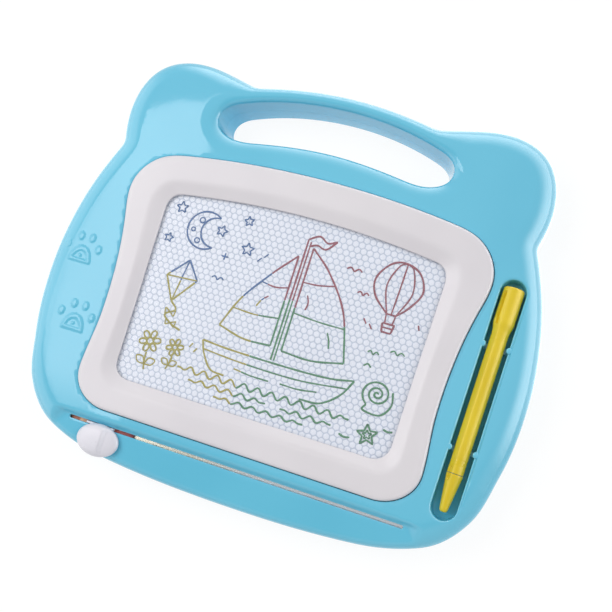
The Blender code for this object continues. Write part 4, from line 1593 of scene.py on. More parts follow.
@dataclass
class Honeycomb:
    """The sheet of six-sided cells that holds the milky slurry."""

    pitch: float = 3.5 * MM
    wall: float = 0.45 * MM
    groove: float = 0.12 * MM
    dome: float = 0.04 * MM
    corner: float = 0.9
    turn: float = math.radians(-0.36)
    around: int = 12

    def centres(self) -> Array:
        """Work out the middles of the cells: rows along X, every other one shifted by half a pitch.

        Returns:
            Array of n by 2.
        """
        low, high = (np.array(corner.xy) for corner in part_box("screen_honeycomb_core"))
        middle = (low + high) / 2
        places = lattice(low - middle, high - [0, middle[1]], self.pitch)
        cos, sin = math.cos(self.turn), math.sin(self.turn)
        places = places @ np.array([[cos, sin], [-sin, cos]]) + middle
        margin = [self.pitch, middle[1] + self.pitch * 0.6]
        return places[(np.abs(places - middle) < high - margin).all(1)]

    def build(self) -> Items:
        """Build the cells.

        Formula: each cell has a ring of twelve points on the hexagon midway in its walls, a
        rounder ring at the wall's edge, a circle and a middle point; the height falls by the
        groove's depth in the walls and rises as a shallow dome inside.

        Returns:
            The sheet.
        """
        centres = self.centres()
        count = self.around
        spoke = np.arange(count)
        angle = np.radians(spoke * 30 + math.degrees(self.turn))
        apothem = self.pitch / 2
        hexagon = np.where(spoke % 2 == 0, apothem, apothem / math.cos(math.radians(30)))
        inner = (hexagon - self.wall) * (1 - self.corner) + (apothem - self.wall) * self.corner
        reach = np.stack([hexagon, inner, inner * 0.72, inner * 0.36])
        direction = np.c_[np.cos(angle), np.sin(angle)]
        low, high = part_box("screen_honeycomb_core")
        heights = high.z - np.array([self.groove + self.dome, self.dome, self.dome * 0.35, self.dome * 0.08])
        ring = (reach[..., None] * direction).reshape(-1, 2)
        cell = np.vstack([np.c_[ring, np.repeat(heights, count)], [[0, 0, high.z]]])
        points = cell[None] + np.c_[centres, np.zeros(len(centres))][:, None]
        beyond = np.roll(spoke, -1)
        band = np.stack([spoke, beyond, beyond + count, spoke + count], -1)
        bands = np.vstack([band + count * row for row in range(3)])
        fan = np.stack([3 * count + spoke, 3 * count + beyond, np.full(count, 4 * count)], -1)
        starts = (np.arange(len(centres)) * len(cell))[:, None, None]
        faces = [(bands + starts).reshape(-1, 4), (fan + starts).reshape(-1, 3)]
        thickness = high.z - low.z - self.groove - self.dome
        parts = [(points.reshape(-1, 3), faces)]
        item = new_piece("screen_cells", parts, "casing", smooth=180, thickness=thickness)
        self.mark_walls(item)
        LOG.info("%d cells", len(centres))
        dress(item, Finish.CELLS)
        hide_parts("screen_honeycomb_core")
        return [item]

    def mark_walls(self, item: bpy.types.Object) -> None:
        """Store how near each point is to a wall.

        Formula: the point's depth below the sheet's top as a share of the whole relief.

        Args:
            item: The sheet.
        """
        mesh = item.data
        flat = np.empty(len(mesh.vertices) * 3)
        mesh.vertices.foreach_get("co", flat)
        height = flat[2::3]
        near = np.clip((height.max() - height) / (self.groove + self.dome), 0, 1)
        mesh.attributes.new(CellSheet.attribute, "FLOAT", "POINT").data.foreach_set("value", near)


@dataclass(frozen=True)
class Stroke:
    """One line of the drawing, as places in millimetres from the bezel's middle."""

    places: Array
    width: float = 1.0

    @staticmethod
    def through(knots: Sequence[Sequence[float]], width: float = 1.0) -> "Stroke":
        """Draw a smooth line through a few knots.

        Formula: a Catmull-Rom curve, each stretch a cubic whose slopes are half the way
        between the knots on either side.

        Args:
            knots: X and Y of each knot.
            width: Its width in millimetres.

        Returns:
            The stroke.
        """
        given = np.array(knots, float)
        padded = np.vstack([2 * given[0] - given[1], given, 2 * given[-1] - given[-2]])
        a, b, c, d = padded[:-3, None], padded[1:-2, None], padded[2:-1, None], padded[3:, None]
        t = (np.arange(14) / 14)[None, :, None]
        curve = b + 0.5 * t * (c - a + t * (2 * a - 5 * b + 4 * c - d + t * (3 * (b - c) + d - a)))
        return Stroke(np.vstack([curve.reshape(-1, 2), given[-1:]]), width)

    @staticmethod
    def lines(knots: Sequence[Sequence[float]], width: float = 1.0) -> "Stroke":
        """Draw straight lines from knot to knot, with points close together on them.

        Args:
            knots: X and Y of each knot.
            width: Their width in millimetres.

        Returns:
            The stroke.
        """
        given = np.array(knots, float)
        parts = [a + (b - a) * (np.arange(12) / 12)[:, None] for a, b in zip(given, given[1:])]
        return Stroke(np.vstack([*parts, given[-1:]]), width)

    @staticmethod
    def round(
        centre: Sequence[float],
        radii: Sequence[float],
        span: tuple[float, float] = (0, 360),
        turn: float = 0,
        width: float = 1.0,
    ) -> "Stroke":
        """Draw an ellipse or a part of one.

        Args:
            centre: X and Y of its middle.
            radii: Its two radii.
            span: Angles in degrees where it starts and ends.
            turn: How far it is turned, in degrees.
            width: Its width in millimetres.

        Returns:
            The stroke.
        """
        angle = np.radians(np.linspace(*span, 49))
        x, y = radii[0] * np.cos(angle), radii[1] * np.sin(angle)
        cos, sin = math.cos(math.radians(turn)), math.sin(math.radians(turn))
        return Stroke(np.c_[centre[0] + x * cos - y * sin, centre[1] + x * sin + y * cos], width)


def boat() -> Strokes:
    """A sailing boat with two sails and a pennant."""
    curve, lines = Stroke.through, Stroke.lines
    return [
        lines([(3.5, -24), (3.5, 43)]),
        lines([(5.2, -24), (5.2, 42)], 0.8),
        curve([(7.5, 39), (20, 28), (33, 10), (41, -15)]),
        curve([(41, -15), (24, -18.5), (7.5, -18)]),
        lines([(7.5, -18), (7.5, 39)]),
        curve([(1, 33), (-10, 20), (-22, 3), (-29, -14)]),
        curve([(-29, -14), (-14, -17.5), (1, -17)]),
        lines([(1, -17), (1, 33)]),
        curve([(7.5, 20), (16, 20.5), (25, 22.5)], 0.8),
        curve([(7.5, 3), (22, 2), (36.5, 2)], 0.8),
        curve([(1, 15), (-6, 13.5), (-14, 14.5)], 0.8),
        curve([(1, -2), (-12, -3.5), (-25, -3)], 0.8),
        curve([(12, 14), (13.5, 10), (13, 6)], 0.8),
        curve([(28, -2), (30, -6), (31, -10)], 0.8),
        curve([(-8, 8), (-11, 5), (-13, 1)], 0.8),
        curve([(3.5, 43), (9, 46), (14, 43.5), (19, 45.5)]),
        curve([(19, 45.5), (14, 40), (9, 41), (5.2, 39.5)]),
        curve([(-35, -24), (-20, -25), (10, -25.3), (35, -24.5), (49, -22)]),
        curve([(49, -22), (44, -31), (35, -38), (24, -39)]),
        curve([(-35, -24), (-32, -31), (-26, -38), (-18, -39)]),
        curve([(-33, -28.6), (-10, -30), (20, -30), (46, -27)], 0.8),
        curve([(-14, -34), (-4, -35), (6, -35)], 0.8),
        curve([(12, -34.5), (22, -34.5), (32, -33)], 0.8),
    ]


def waves() -> Strokes:
    """Rows of waves under the boat, sines that flatten towards their ends."""
    strokes = []
    rows = ((-44, 52, -41.5, 1.6), (-36, 8, -46.5, 1.2), (16, 44, -46.8, 1.2), (-20, 30, -51, 1.0))
    for start, end, y, height in rows:
        x = np.linspace(start, end, int((end - start) * 3))
        fade = smoothstep((x - start) / 8) * smoothstep((end - x) / 8)
        strokes.append(Stroke(np.c_[x, y + height * fade * np.sin(x * 0.82)]))
    return strokes


def star(x: float, y: float, radius: float, turn: float = 0, width: float = 0.8) -> Stroke:
    """A five-pointed star outline."""
    angle = np.radians(90 + turn + np.arange(11) * 36)
    reach = np.where(np.arange(11) % 2 == 0, radius, radius * 0.45)
    return Stroke.lines(np.c_[x + reach * np.cos(angle), y + reach * np.sin(angle)].tolist(), width)


def night() -> Strokes:
    """A crescent moon among stars."""
    return [
        Stroke.round((-53, 33), (10.5, 10.5), (52, 308)),
        Stroke.round((-47.2, 33), (8.3, 8.3), (87, 273)),
        Stroke.round((-56.5, 38), (1.5, 1.5), width=0.8),
        Stroke.round((-60, 32), (1.1, 1.1), width=0.8),
        Stroke.round((-56, 26.5), (1.4, 1.4), width=0.8),
        star(-70, 42, 3.6, 8),
        star(-44, 35, 3.4, -10),
        star(-31, 44, 3.0, 14),
        star(-27, 29, 3.8, 4),
        star(-72, 24, 2.8, -6),
        Stroke.lines([(-38, 24), (-38, 20)], 0.8),
        Stroke.lines([(-40, 22), (-36, 22)], 0.8),
    ]


def kite() -> Strokes:
    """A kite with a wavy tail and bows."""
    strokes = [
        Stroke.lines([(-56, 15), (-48.5, 5), (-59, -9), (-66, 4), (-56, 15)]),
        Stroke.lines([(-56, 15), (-59, -9)], 0.8),
        Stroke.lines([(-66, 4), (-48.5, 5)], 0.8),
        Stroke.through([(-59, -9), (-55, -13), (-60, -17), (-55, -21), (-49, -23)]),
    ]
    for x, y in ((-57.6, -15), (-55.6, -20.6)):
        strokes.append(Stroke.lines([(x, y), (x - 3, y + 2), (x - 2.6, y - 1.4), (x, y)], 0.8))
        strokes.append(Stroke.lines([(x, y), (x + 3, y + 1.4), (x + 2.6, y - 2), (x, y)], 0.8))
    return strokes


def flower(x: float, y: float, size: float, lean: float) -> Strokes:
    """A six-petalled flower with a stem and two leaves.

    Args:
        x: X of its middle.
        y: Y of its middle.
        size: Reach of its petals.
        lean: How far the stem's foot lies to the right.

    Returns:
        Its strokes.
    """
    strokes = [Stroke.round((x, y), (size * 0.3, size * 0.3))]
    for number in range(6):
        angle = math.radians(number * 60 + 15)
        place = (x + size * 0.66 * math.cos(angle), y + size * 0.66 * math.sin(angle))
        strokes.append(Stroke.round(place, (size * 0.36, size * 0.24), turn=math.degrees(angle)))
    foot = (x + lean, y - size * 2.6)
    strokes.append(Stroke.through([(x, y - size), (x + lean * 0.2, y - size * 1.8), foot]))
    leaf = (x + lean * 0.5, y - size * 2.1)
    for side in (-1, 1):
        tip = (leaf[0] + side * size * 0.9, leaf[1] + size * 0.55)
        over = (leaf[0] + side * size * 0.3, leaf[1] + size * 0.6)
        below = (leaf[0] + side * size * 0.65, leaf[1] + size * 0.05)
        strokes.append(Stroke.through([leaf, over, tip, below, leaf], 0.8))
    return strokes


def balloon() -> Strokes:
    """A hot-air balloon with its basket."""
    crown = (58, 44)
    left, right = (54.5, 16), (59.5, 16)
    return [
        Stroke.through(
            [left, (46, 24), (44, 33), (50, 42), crown, (66, 40), (69.5, 31), (65, 22), right]
        ),
        Stroke.through([left, (50.5, 30), (54, 41.5), crown], 0.8),
        Stroke.through([right, (64.5, 29), (62, 41), crown], 0.8),
        Stroke.through([(57, 16), (57.6, 30), crown], 0.8),
        Stroke.lines([left, right]),
        Stroke.lines([left, (55, 11)], 0.8),
        Stroke.lines([right, (59, 11)], 0.8),
        Stroke.lines([(53.8, 11), (60.2, 11), (59.4, 6.4), (54.6, 6.4), (53.8, 11)]),
        Stroke.lines([(54.2, 8.8), (59.8, 8.8)], 0.8),
    ]


def shell() -> Strokes:
    """A spiral shell and a starfish, with small shore marks."""
    angle = np.radians(np.linspace(0, 960, 150))
    reach = 0.5 + 7.4 * (np.linspace(0, 1, 150) ** 1.3)
    spiral = np.c_[62 + reach * np.cos(angle), -25 + reach * np.sin(angle) * 0.92]
    return [
        Stroke(spiral),
        Stroke.through([spiral[-1].tolist(), (57, -34.5), (66, -35), (70.5, -29), (69.6, -22)]),
        star(63, -46, 5.6, 12, 1.0),
        star(63, -46, 2.6, 12),
        Stroke.through([(49, -49.5), (52, -50.4), (55, -49.8)]),
        Stroke.through([(70, -41), (72.5, -41.6), (75, -41)]),
        Stroke.through([(51, -13), (53, -11.4), (55, -13)], 0.8),
    ]


def small_marks() -> Strokes:
    """Gulls and short dashes between the other things."""
    strokes = []
    for x, y, size in ((32, 33, 4.2), (40, 22, 3.2), (66, -3, 3.8), (54, -6, 3.0), (-38, 9, 3.4)):
        for side in (-1, 1):
            tip, wing = (x + side * size, y + 0.4), (x + side * size * 0.5, y + 1.5)
            knots = [(x, y - 0.4), wing, tip]
            strokes.append(Stroke.through(knots[::side], 0.8))
    dashes = (
        (-20, 24, 2), (-17, 27, 2), (46, 8, -2), (49.5, 6, -2),
        (-41, -30, 1.5), (-38, -32, 1.5), (73, 12, -1),
    )
    for x, y, lean in dashes:
        strokes.append(Stroke.lines([(x, y), (x + lean, y + 2.6)], 0.8))
    return strokes


@dataclass
class Drawing:
    """Lines of coloured powder in the screen, in four zones of colour."""

    split_x: float = -10.0
    split_y: float = 5.0
    thickness: float = 0.05 * MM
    rise: float = 0.04 * MM
    spread: float = 0.1 * MM
    wobble: float = 0.1

    def strokes(self) -> Strokes:
        """Collect the strokes of every motif."""
        flowers = flower(-63, -33, 6.0, 1.5) + flower(-48.5, -32.5, 4.8, -1.5)
        sky = boat() + waves() + night() + kite()
        return sky + flowers + balloon() + shell() + small_marks()

    def zone(self, places: Array) -> Array:
        """Number the colour zone of each place: 0 top left, 1 top right, 2 and 3 below them."""
        return (places[:, 0] > self.split_x) + 2 * (places[:, 1] < self.split_y)

    def ribbon(self, places: Array, width: float, height: float) -> Part:
        """Work out a flat ribbon along a line.

        Formula: two edges at half the width to either side of the line, square to it; the
        width wavers by a sine of the run and closes at each end as half a circle does.

        Args:
            places: The line in metres.
            width: The ribbon's width.
            height: Its height.

        Returns:
            Points and faces.
        """
        run = np.r_[0, np.cumsum(np.linalg.norm(np.diff(places, axis=0), axis=1))]
        ends = np.array([0.0, 0.06, 0.2, 0.45, 0.75, 1.0]) * width / 2
        count = max(2, int((run[-1] - width) / (0.7 * MM)) + 1)
        body = np.linspace(width / 2, max(run[-1] - width / 2, width / 2), count)
        at = np.unique(np.r_[ends, body, run[-1] - ends].clip(0, run[-1]))
        line = np.c_[np.interp(at, run, places[:, 0]), np.interp(at, run, places[:, 1])]
        along = np.gradient(line, axis=0)
        along = along / np.maximum(np.linalg.norm(along, axis=1), 1e-12)[:, None]
        left = np.c_[-along[:, 1], along[:, 0]]
        near = np.minimum(at, run[-1] - at) / (width / 2)
        close = np.sqrt(np.clip(1 - (1 - np.clip(near, 0.01, 1)) ** 2, 0, 1))
        waver = 1 + self.wobble * np.sin(at / (1.9 * MM) + 300 * height / MM)
        half = (width / 2 * close * waver)[:, None]
        points = np.vstack([lifted(line + left * half, height), lifted(line - left * half, height)])
        start = np.arange(len(line) - 1)
        return points, [np.stack([start, start + len(line), start + len(line) + 1, start + 1], -1)]

    def build(self) -> Items:
        """Build one piece for each zone of colour."""
        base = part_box("screen_honeycomb_core")[1].z + self.rise
        zones: list[list[Part]] = [[], [], [], []]
        strokes = self.strokes()
        for number, stroke in enumerate(strokes):
            place = stroke.places
            zone = self.zone(place)
            cuts = [0, *(np.nonzero(np.diff(zone))[0] + 1).tolist(), len(place)]
            height = base + self.spread * number / len(strokes)
            for start, end in zip(cuts, cuts[1:]):
                piece = place[start : min(end + 1, len(place))] * MM + [0, PLAN.middle_y]
                if len(piece) > 2:
                    zones[zone[start]].append(self.ribbon(piece, stroke.width * MM, height))
        finishes = (Finish.BLUE_LINE, Finish.RED_LINE, Finish.OLIVE_LINE, Finish.GREEN_LINE)
        names = ("blue", "red", "olive", "green")
        found = []
        for parts, name, finish in zip(zones, names, finishes):
            item = new_piece(f"drawn_lines_{name}", parts, "casing", smooth=180, thickness=self.thickness)
            dress(item, finish)
            found.append(item)
        return found


@dataclass
class Pen:
    """The yellow magnetic pen: head with a slot, barrel with a narrow facet, and a nose."""

    top: float = 58.2 * MM
    split: float = -38.8 * MM
    head_foot: float = 40.4 * MM
    neck: float = 34.4 * MM
    waist: float = 4.15 * MM
    tip_radius: float = 2.0 * MM
    cone_top: float = -39.8 * MM
    bore: float = 2.7 * MM
    bore_depth: float = 9.0 * MM
    facet_angle: float = math.radians(135)
    facet_cut: float = 0.32 * MM
    slot_half: float = 1.0 * MM
    slot_depth: float = 1.3 * MM
    rings: tuple[float, ...] = (33.2, 31.9, 30.6, -32.0, -33.3, -34.6)
    ring_depth: float = 0.16 * MM
    ring_width: float = 0.38 * MM
    tip_round: float = 1.6 * MM
    end_round: float = 0.9 * MM
    spacing: float = 0.4 * MM
    around: int = 120

    def radius(self, y: Array) -> Array:
        """Work out the pen's radius along it.

        Formula: the head's radius eases to the barrel's over the shoulder, the barrel
        narrows evenly to its waist, the nose is a straight cone; small waves are the rings,
        and a quarter circle rounds each end.

        Args:
            y: Places along the pen.

        Returns:
            The radii.
        """
        barrel = np.interp(y, (self.cone_top, self.neck), (self.waist, PEN.radius))
        shoulder = smoothstep((y - self.neck) / (self.head_foot - self.neck))
        found = barrel + (PEN.head_radius - PEN.radius) * shoulder
        cone = self.tip_radius + (y + self.top) / (self.cone_top + self.top) * (self.waist - self.tip_radius)
        found = np.minimum(found, cone)
        for ring in self.rings:
            found = found - self.ring_depth * np.exp(-(((y - ring * MM) / self.ring_width) ** 2))
        tip = np.clip((y + self.top) / self.tip_round, 0, 1)
        end = np.clip((self.top - y) / self.end_round, 0, 1)
        return found - self.tip_radius * 0.55 * quarter_round(tip) - self.end_round * quarter_round(end)

    def ring(self, radius: float | Array, y: float) -> Array:
        """Draw one ring round the pen and carry it to its place in the recess.

        Args:
            radius: Its radius, one for all points or one each.
            y: Its place along the pen.

        Returns:
            Array of points.
        """
        plan = unit_circle(self.around) * np.reshape(radius, (-1, 1))
        return lifted(PEN.place_flat(lifted(plan[:, :1], y)), plan[:, 1] + PEN.z)

    def skin(self, y: Array) -> list[Array]:
        """Work out rings of the pen's outer surface.

        Formula: the radius of each ring, held under the facet's plane, less the slots, whose
        depth is eased in from their sides and round ends.

        Args:
            y: Places along the pen.

        Returns:
            Rings of points.
        """
        around = np.linspace(0, 2 * math.pi, self.around, endpoint=False)
        off = (around - self.facet_angle + math.pi) % (2 * math.pi) - math.pi
        radius = np.repeat(self.radius(y)[:, None], len(around), 1)
        faceted = (y < self.head_foot + 1 * MM) & (y > self.cone_top - 2 * MM)
        plane = (radius - self.facet_cut) / np.maximum(np.cos(off), 0.2)
        radius = np.where(faceted[:, None], np.minimum(radius, plane), radius)
        across = np.abs(radius * off)
        for low, high, depth in ((38.4, 55.4, self.slot_depth), (-42.6, -35.8, self.slot_depth * 0.55)):
            past = np.maximum(np.maximum(low * MM + self.slot_half - y, y - high * MM + self.slot_half), 0)
            inside = self.slot_half - np.hypot(across, past[:, None])
            radius = radius - depth * smoothstep(inside / (0.3 * MM) + 0.5)
        return [self.ring(reach, place) for reach, place in zip(radius, y)]

    def build(self) -> Items:
        """Build the barrel and the nose.

        Returns:
            The two pieces.
        """
        end, tip = self.top - np.geomspace(0.9, 0.01, 8) * MM, -self.top + np.geomspace(0.01, 1.6, 9) * MM
        upper = np.r_[np.arange(self.split + 0.08 * MM, self.top - 1 * MM, self.spacing), end]
        lower = np.r_[tip, np.arange(-self.top + 2 * MM, self.split, self.spacing)]
        rim, bore = 0.3 * MM, self.bore
        mouth = ((bore + rim, self.top), (bore, self.top - rim), (bore, self.top - self.bore_depth))
        rings = self.skin(upper) + [self.ring(radius, y) for radius, y in mouth]
        barrel = new_piece("pen_body", [sealed(rings)], "pen", smooth=32)
        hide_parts("pen_barrel")
        nose = new_piece("pen_tip", [sealed(self.skin(lower))], "pen", smooth=32)
        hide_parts("pen_nose")
        for item in (barrel, nose):
            dress(item, Finish.YELLOW)
        return [barrel, nose]


@dataclass
class EraserKnob:
    """The white thumb grip of the eraser, with its step and its stem in the slot."""

    half_width: float = 12.05 * MM
    half_length: float = 8.6 * MM
    height: float = 3.5 * MM
    step: float = 1.65 * MM
    step_x: float = 3.4 * MM
    step_width: float = 2.6 * MM
    stem_half: float = 7.9 * MM
    stem_rise: float = 1.05 * MM
    past_slot: float = 1.05 * MM

    @property
    def middle(self) -> tuple[float, float, float]:
        """X and Y of the grip's middle, and the height of its underside."""
        low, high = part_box("eraser_knob")
        y = PLAN.slot_y + self.past_slot - self.half_length
        return (low.x + high.x) / 2, y, high.z - self.height - 1.7 * MM

    def top(self, x: Array, y: Array, share: Array) -> Array:
        """Work out the grip's height over its underside.

        Formula: a dome whose edge is a quarter of a fourth-power curve, plus a step that
        falls steeply on the right and fades gently to the left and to the rim.

        Args:
            x: Places across, from the middle.
            y: Places along, from the middle.
            share: Share of the way from the middle to the rim.

        Returns:
            The heights.
        """
        dome = self.height * (0.28 + 0.72 * (1 - share**4) ** 0.5)
        rise = smoothstep((self.step_x + self.step_width / 2 - x) / self.step_width)
        fade = 0.35 + 0.65 * smoothstep((x + self.half_width) / (self.half_width + self.step_x))
        hold = (1 - share**5) * (1 - 0.1 * (y / self.half_length) ** 2)
        return dome + self.step * rise * fade * hold

    def build(self) -> Items:
        """Build the grip as a polar grid, and its stem as a small rounded block.

        Returns:
            The piece.
        """
        x0, y0, low = self.middle
        unit = unit_circle(96) * [self.half_width, self.half_length]
        underside = ((0.01, 0.0), (0.9, 0.0), (0.96, 0.05), (0.99, 0.15))
        rings = [lifted(unit * size, rise * self.height) for size, rise in underside]
        for size in np.r_[1.0, 0.995, 0.985, 0.97, 0.95, np.linspace(0.92, 0.04, 30), 0.01]:
            x, y = (unit * size).T
            rings.append(np.c_[x, y, self.top(x, y, np.full(96, size))])
        parts = [sealed([ring + [x0, y0, low] for ring in rings])]
        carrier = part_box("eraser_carrier")
        middle = ((carrier[0].x + carrier[1].x) / 2, PLAN.slot_y)
        stem = round_cornered((self.stem_half, PLAN.slot_width / 2 - 0.3 * MM), middle, 0.3 * MM)
        foot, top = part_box("eraser_knob")[0].z, low + self.stem_rise
        steps = ((0.0, foot), (0.0, top - 0.35 * MM), (0.12 * MM, top - 0.1 * MM), (0.35 * MM, top))
        plans = [(moved_in(stem, inset), height) for inset, height in steps]
        parts.append(sealed([lifted(plan, height) for plan, height in plans]))
        item = new_piece("eraser_grip", parts, "eraser", smooth=40)
        dress(item, Finish.KNOB_WHITE)
        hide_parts("eraser_knob")
        return [item]


def dress_packed_nodes() -> None:
    """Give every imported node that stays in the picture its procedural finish."""
    finishes = {
        "screen_front_film": Finish.FILM,
        "screen_back_film": Finish.FILM,
        "lower_rail": Finish.RAIL,
        "upper_rail": Finish.RAIL,
        "eraser_carrier": Finish.CARRIER,
        "eraser_arm": Finish.KNOB_WHITE,
        "eraser_magnet": Finish.MAGNET,
        "pen_cap": Finish.YELLOW,
        "pen_magnet": Finish.STEEL,
    }
    for name, finish in finishes.items():
        dress(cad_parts[name], finish)


@dataclass(frozen=True)
class MattLamp:
    """A soft lamp that lights surfaces but isn't mirrored: its middle, its size and its radiance."""

    name: str
    place: tuple[float, float, float]
    size: tuple[float, float]
    radiance: float

    @property
    def watts(self) -> float:
        """Power that gives the lamp its radiance."""
        return self.radiance * math.pi * self.size[0] * self.size[1]


@dataclass(frozen=True)
class TentCloth:
    """White cloth of a light tent, lit from behind; its mesh says how bright each point is."""

    name: str = "lit_tent_cloth"
    attribute: str = "glow"

    def material(self) -> Material:
        """Build the node material."""
        made, tree, _ = new_tree(self.name)
        glow = add_node(tree, "ShaderNodeAttribute", {"attribute_name": self.attribute}).outputs["Fac"]
        cloth = add_node(tree, "ShaderNodeEmission", {"Strength": glow}).outputs[0]
        connect(tree, tree.nodes["Material Output"], {"Surface": cloth})
        made.cycles.emission_sampling = "AUTO"
        return made


@dataclass
class Tent:
    """What the polished plastic mirrors: a dome of cloth, bright at right and back, and a softbox at left.

    Azimuths count from +X towards +Y and elevations from the floor, both in degrees.
    """

    radius: float = 1.8
    right_glow: float = 6.2
    back_glow: float = 5.2
    left_glow: float = 2.3
    roof_shade: float = 0.7
    wall_top: float = 59.0
    wall_fades: tuple[float, float] = (48.0, 36.0)
    wall_start: tuple[float, float] = (-16.0, 4.0)
    wall_end: tuple[float, float] = (128.0, 108.0)
    beside: tuple[float, float] = (60.0, 10.0)
    left_start: tuple[float, float] = (135.0, 155.0)
    left_end: tuple[float, float] = (235.0, 215.0)
    left_top: tuple[float, float] = (50.0, 35.0)
    roof_start: tuple[float, float] = (45.0, 70.0)
    roof_front: tuple[float, float] = (-0.25, 0.1)
    table_share: float = 0.35
    table_ring: tuple[float, float] = (0.12, 0.15)
    softbox_glow: tuple[float, float] = (3.5, 4.6)
    softbox_low: tuple[float, float] = (-1.5, -0.19)
    softbox_corner: tuple[float, float] = (-0.507, 0.401)
    softbox_right: float = -0.43
    softbox_slopes: tuple[float, float] = (0.577, 0.1)
    softbox_height: float = 0.9
    softbox_bright: tuple[float, float] = (-0.66, -0.56)
    softbox_near_glow: float = 0.6
    softbox_near_fade: float = 0.12
    unseen_by: tuple[str, ...] = ("camera", "diffuse", "transmission", "volume_scatter", "shadow")

    def dome_glow(self, azimuth: Array, elevation: Array) -> Array:
        """Work out how bright the dome is.

        Formula: 1, plus a wall from the right to the back that fades upwards, faster beside the
        board than behind it; plus a low dimmer wall at the left; less a shade overhead towards
        the front, where the camera stands.

        Args:
            azimuth: Azimuth of each point, from -180 to 180.
            elevation: Its elevation.

        Returns:
            The radiances.
        """
        beside = eased(azimuth, *self.beside)
        behind_fade, beside_fade = self.wall_fades
        fade = behind_fade + (beside_fade - behind_fade) * beside
        round_right = eased(azimuth, *self.wall_start) * eased(azimuth, *self.wall_end)
        peak = self.back_glow + (self.right_glow - self.back_glow) * beside - 1
        turned = azimuth % 360
        left = eased(turned, *self.left_start) * eased(turned, *self.left_end)
        left = left * eased(elevation, *self.left_top)
        height, level = np.sin(np.radians(elevation)), np.cos(np.radians(elevation))
        forward = level * np.sin(np.radians(azimuth)) / np.maximum(height, 0.1)
        shade = (1 - eased(forward, *self.roof_front)) * eased(elevation, *self.roof_start)
        wall = peak * round_right * smoothstep((self.wall_top - elevation) / fade)
        return 1 + wall + (self.left_glow - 1) * left - self.roof_shade * shade

    def hang(self, name: str, part: Part, glow: Array) -> None:
        """Make one sheet of cloth that only reflections show.

        Args:
            name: Its name.
            part: Its points and faces.
            glow: The radiance at each point.
        """
        mesh = new_mesh(name, part)
        layer = mesh.attributes.new(TentCloth.attribute, "FLOAT", "POINT")
        layer.data.foreach_set("value", glow)
        mesh.shade_smooth()
        mesh.materials.append(TentCloth().material())
        item = bpy.data.objects.new(name, mesh)
        bpy.context.collection.objects.link(item)
        for kind in self.unseen_by:
            setattr(item, f"visible_{kind}", False)

    def build_dome(self) -> None:
        """Hang the dome, and lay the lit table that only reflections show round the board."""
        azimuth = np.linspace(-180, 180, 97)[:-1]
        unit = np.c_[np.cos(np.radians(azimuth)), np.sin(np.radians(azimuth))]
        rings, glow = [], []
        for elevation in np.linspace(0, 89.5, 46):
            angle = math.radians(elevation)
            rings.append(lifted(unit * (self.radius * math.cos(angle)), self.radius * math.sin(angle)))
            glow.append(self.dome_glow(azimuth, np.full(len(azimuth), elevation)))
        self.hang("tent_dome", grid(rings), np.concatenate(glow))
        low, high = self.table_ring
        beside = self.dome_glow(azimuth, np.zeros(len(azimuth))) - 1
        rings, glow = [], []
        for level in (0.01, low, (2 * low + high) / 3, (low + 2 * high) / 3, high, 0.3, self.radius):
            rings.append(lifted(unit * level, -0.1 * MM))
            glow.append(1 + self.table_share * beside * smoothstep((level - low) / (high - low)))
        self.hang("lit_table", grid(rings), np.concatenate(glow))

    def build(self) -> None:
        """Hang the dome and the softbox, whose far edge has a corner and whose near edge is dimmed."""
        self.build_dome()
        corner_x, corner_y = self.softbox_corner
        low_x, low_y = self.softbox_low
        columns = np.r_[np.linspace(low_x, corner_x, 40), np.linspace(corner_x, self.softbox_right, 8)[1:]]
        slope = np.where(columns < corner_x, *self.softbox_slopes)
        far = corner_y + slope * (columns - corner_x)
        x, share = np.meshgrid(columns, np.linspace(0, 1, 40))
        y = low_y + share * (far - low_y)
        near, (dim, bright) = self.softbox_near_glow, self.softbox_glow
        level = dim + (bright - dim) * eased(x, *self.softbox_bright)
        glow = near + (level - near) * smoothstep((y - low_y) / self.softbox_near_fade)
        index = np.arange(x.size).reshape(x.shape)
        faces = np.stack([index[:-1, :-1], index[:-1, 1:], index[1:, 1:], index[1:, :-1]], -1).reshape(-1, 4)
        points = lifted(np.c_[x.ravel(), y.ravel() + PLAN.middle_y], PLAN.top + self.softbox_height)
        self.hang("softbox", (points, [faces]), glow.ravel())


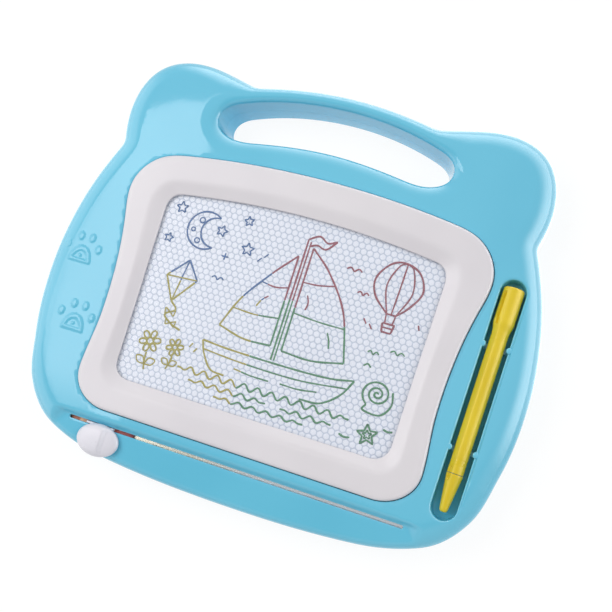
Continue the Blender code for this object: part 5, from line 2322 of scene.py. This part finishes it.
@dataclass
class Studio:
    """Camera, soft lamps, pale world, tent and floor."""

    camera_from_bezel: tuple[float, float, float] = (118.003 * MM, -50.424 * MM, 450.086 * MM)
    right: tuple[float, float, float] = (0.936874, 0.301231, -0.177561)
    up: tuple[float, float, float] = (-0.269027, 0.945339, 0.18428)
    back: tuple[float, float, float] = (0.223366, -0.124878, 0.966702)
    lens: float = 52.94
    sky: float = 0.52
    floor_glow: float = 0.3
    floor_white: float = 1.04
    floor_share: float = 0.85
    floor_half: float = 6.0
    floor_grain: float = 30 * MM
    lamps: tuple[MattLamp, ...] = (
        MattLamp("left_lamp", (-0.9, 0.2, 1.1), (1.1, 0.9), 3.15),
        MattLamp("right_lamp", (1.5, 0.4, 1.2), (1.3, 1.2), 1.9),
    )

    def camera(self) -> None:
        """Set the camera where it sees the board as the photograph does."""
        low, high = PLAN.frame_box
        data = bpy.data.cameras.new("portrait_camera")
        data.lens = self.lens
        data.sensor_width = 36.0
        data.clip_start = 0.01
        item = bpy.data.objects.new("portrait_camera", data)
        turn = Matrix((self.right, self.up, self.back)).transposed().to_4x4()
        middle = Vector((0, (low.y + high.y) / 2, high.z))
        item.matrix_world = Matrix.Translation(middle + Vector(self.camera_from_bezel)) @ turn
        bpy.context.collection.objects.link(item)
        bpy.context.scene.camera = item

    def hang_lamp(self, lamp: MattLamp) -> None:
        """Hang a rectangular lamp that faces the board and shows in no reflection."""
        data = bpy.data.lights.new(lamp.name, "AREA")
        data.shape = "RECTANGLE"
        data.size, data.size_y = lamp.size
        data.energy = lamp.watts
        item = bpy.data.objects.new(lamp.name, data)
        item.location = lamp.place
        item.rotation_euler = Vector(lamp.place).to_track_quat("Z", "Y").to_euler()
        item.visible_glossy = False
        bpy.context.collection.objects.link(item)

    def world(self) -> None:
        """Make the world white to the eye and to reflections, and a plain soft sky to matt surfaces."""
        world = bpy.data.worlds.new("pale_room")
        bpy.context.scene.world = world
        world.use_nodes = True
        tree = world.node_tree
        spread = {"To Min": self.sky, "To Max": 1.0, "Value": looked_at(tree)}
        level = add_node(tree, "ShaderNodeMapRange", spread).outputs["Result"]
        connect(tree, tree.nodes["Background"], {"Strength": level, "Color": (1, 1, 1, 1)})

    def floor_paper(self) -> Material:
        """Build white paper that is nearly even to the eye and lights the board a little from below.

        Returns:
            The material.
        """
        made, tree, shader = new_tree("white_paper_sweep")
        colour = mottle(tree, self.floor_grain, ((0.3, "F4F4F4"), (0.7, "FAFAFA")))
        connect(tree, shader, {"Base Color": colour, "Roughness": 1.0, "Specular IOR Level": 0.0})
        paper = shader.outputs[0]
        white = add_node(tree, "ShaderNodeEmission", {"Strength": self.floor_white}).outputs[0]
        shown = add_node(tree, "ShaderNodeMixShader", {0: self.floor_share, 1: paper, 2: white}).outputs[0]
        faint = add_node(tree, "ShaderNodeEmission", {"Strength": self.floor_glow}).outputs[0]
        lit = add_node(tree, "ShaderNodeAddShader", {0: paper, 1: faint}).outputs[0]
        choice = add_node(tree, "ShaderNodeMixShader", {0: looked_at(tree), 1: lit, 2: shown}).outputs[0]
        connect(tree, tree.nodes["Material Output"], {"Surface": choice})
        return made

    def floor(self) -> None:
        """Lay a white floor that keeps a soft share of the board's shadow."""
        corners = np.array([(-1, -1), (1, -1), (1, 1), (-1, 1)]) * self.floor_half
        mesh = new_mesh("floor", (lifted(corners, -0.2 * MM), [np.arange(4)[None]]))
        mesh.materials.append(self.floor_paper())
        item = bpy.data.objects.new("floor", mesh)
        bpy.context.collection.objects.link(item)

    def build(self) -> None:
        """Set up the whole studio."""
        bpy.context.scene.view_settings.view_transform = "Standard"
        self.camera()
        self.world()
        self.floor()
        Tent().build()
        for lamp in self.lamps:
            self.hang_lamp(lamp)


def main() -> None:
    """Build the studio, then each part of the board, in order."""
    logging.basicConfig(level=logging.INFO, format="%(name)s: %(message)s")
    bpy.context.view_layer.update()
    Studio().build()
    fixed = (FrontCasing(), RecessFittings(), BackCover(), ScrewSet(), Bezel(), Honeycomb(), Drawing())
    for part in (*fixed, Pen(), EraserKnob()):
        for item in part.build():
            LOG.info("%s: %d faces", item.name, len(item.data.polygons))
    dress_packed_nodes()


if __name__ == "__main__":
    main()
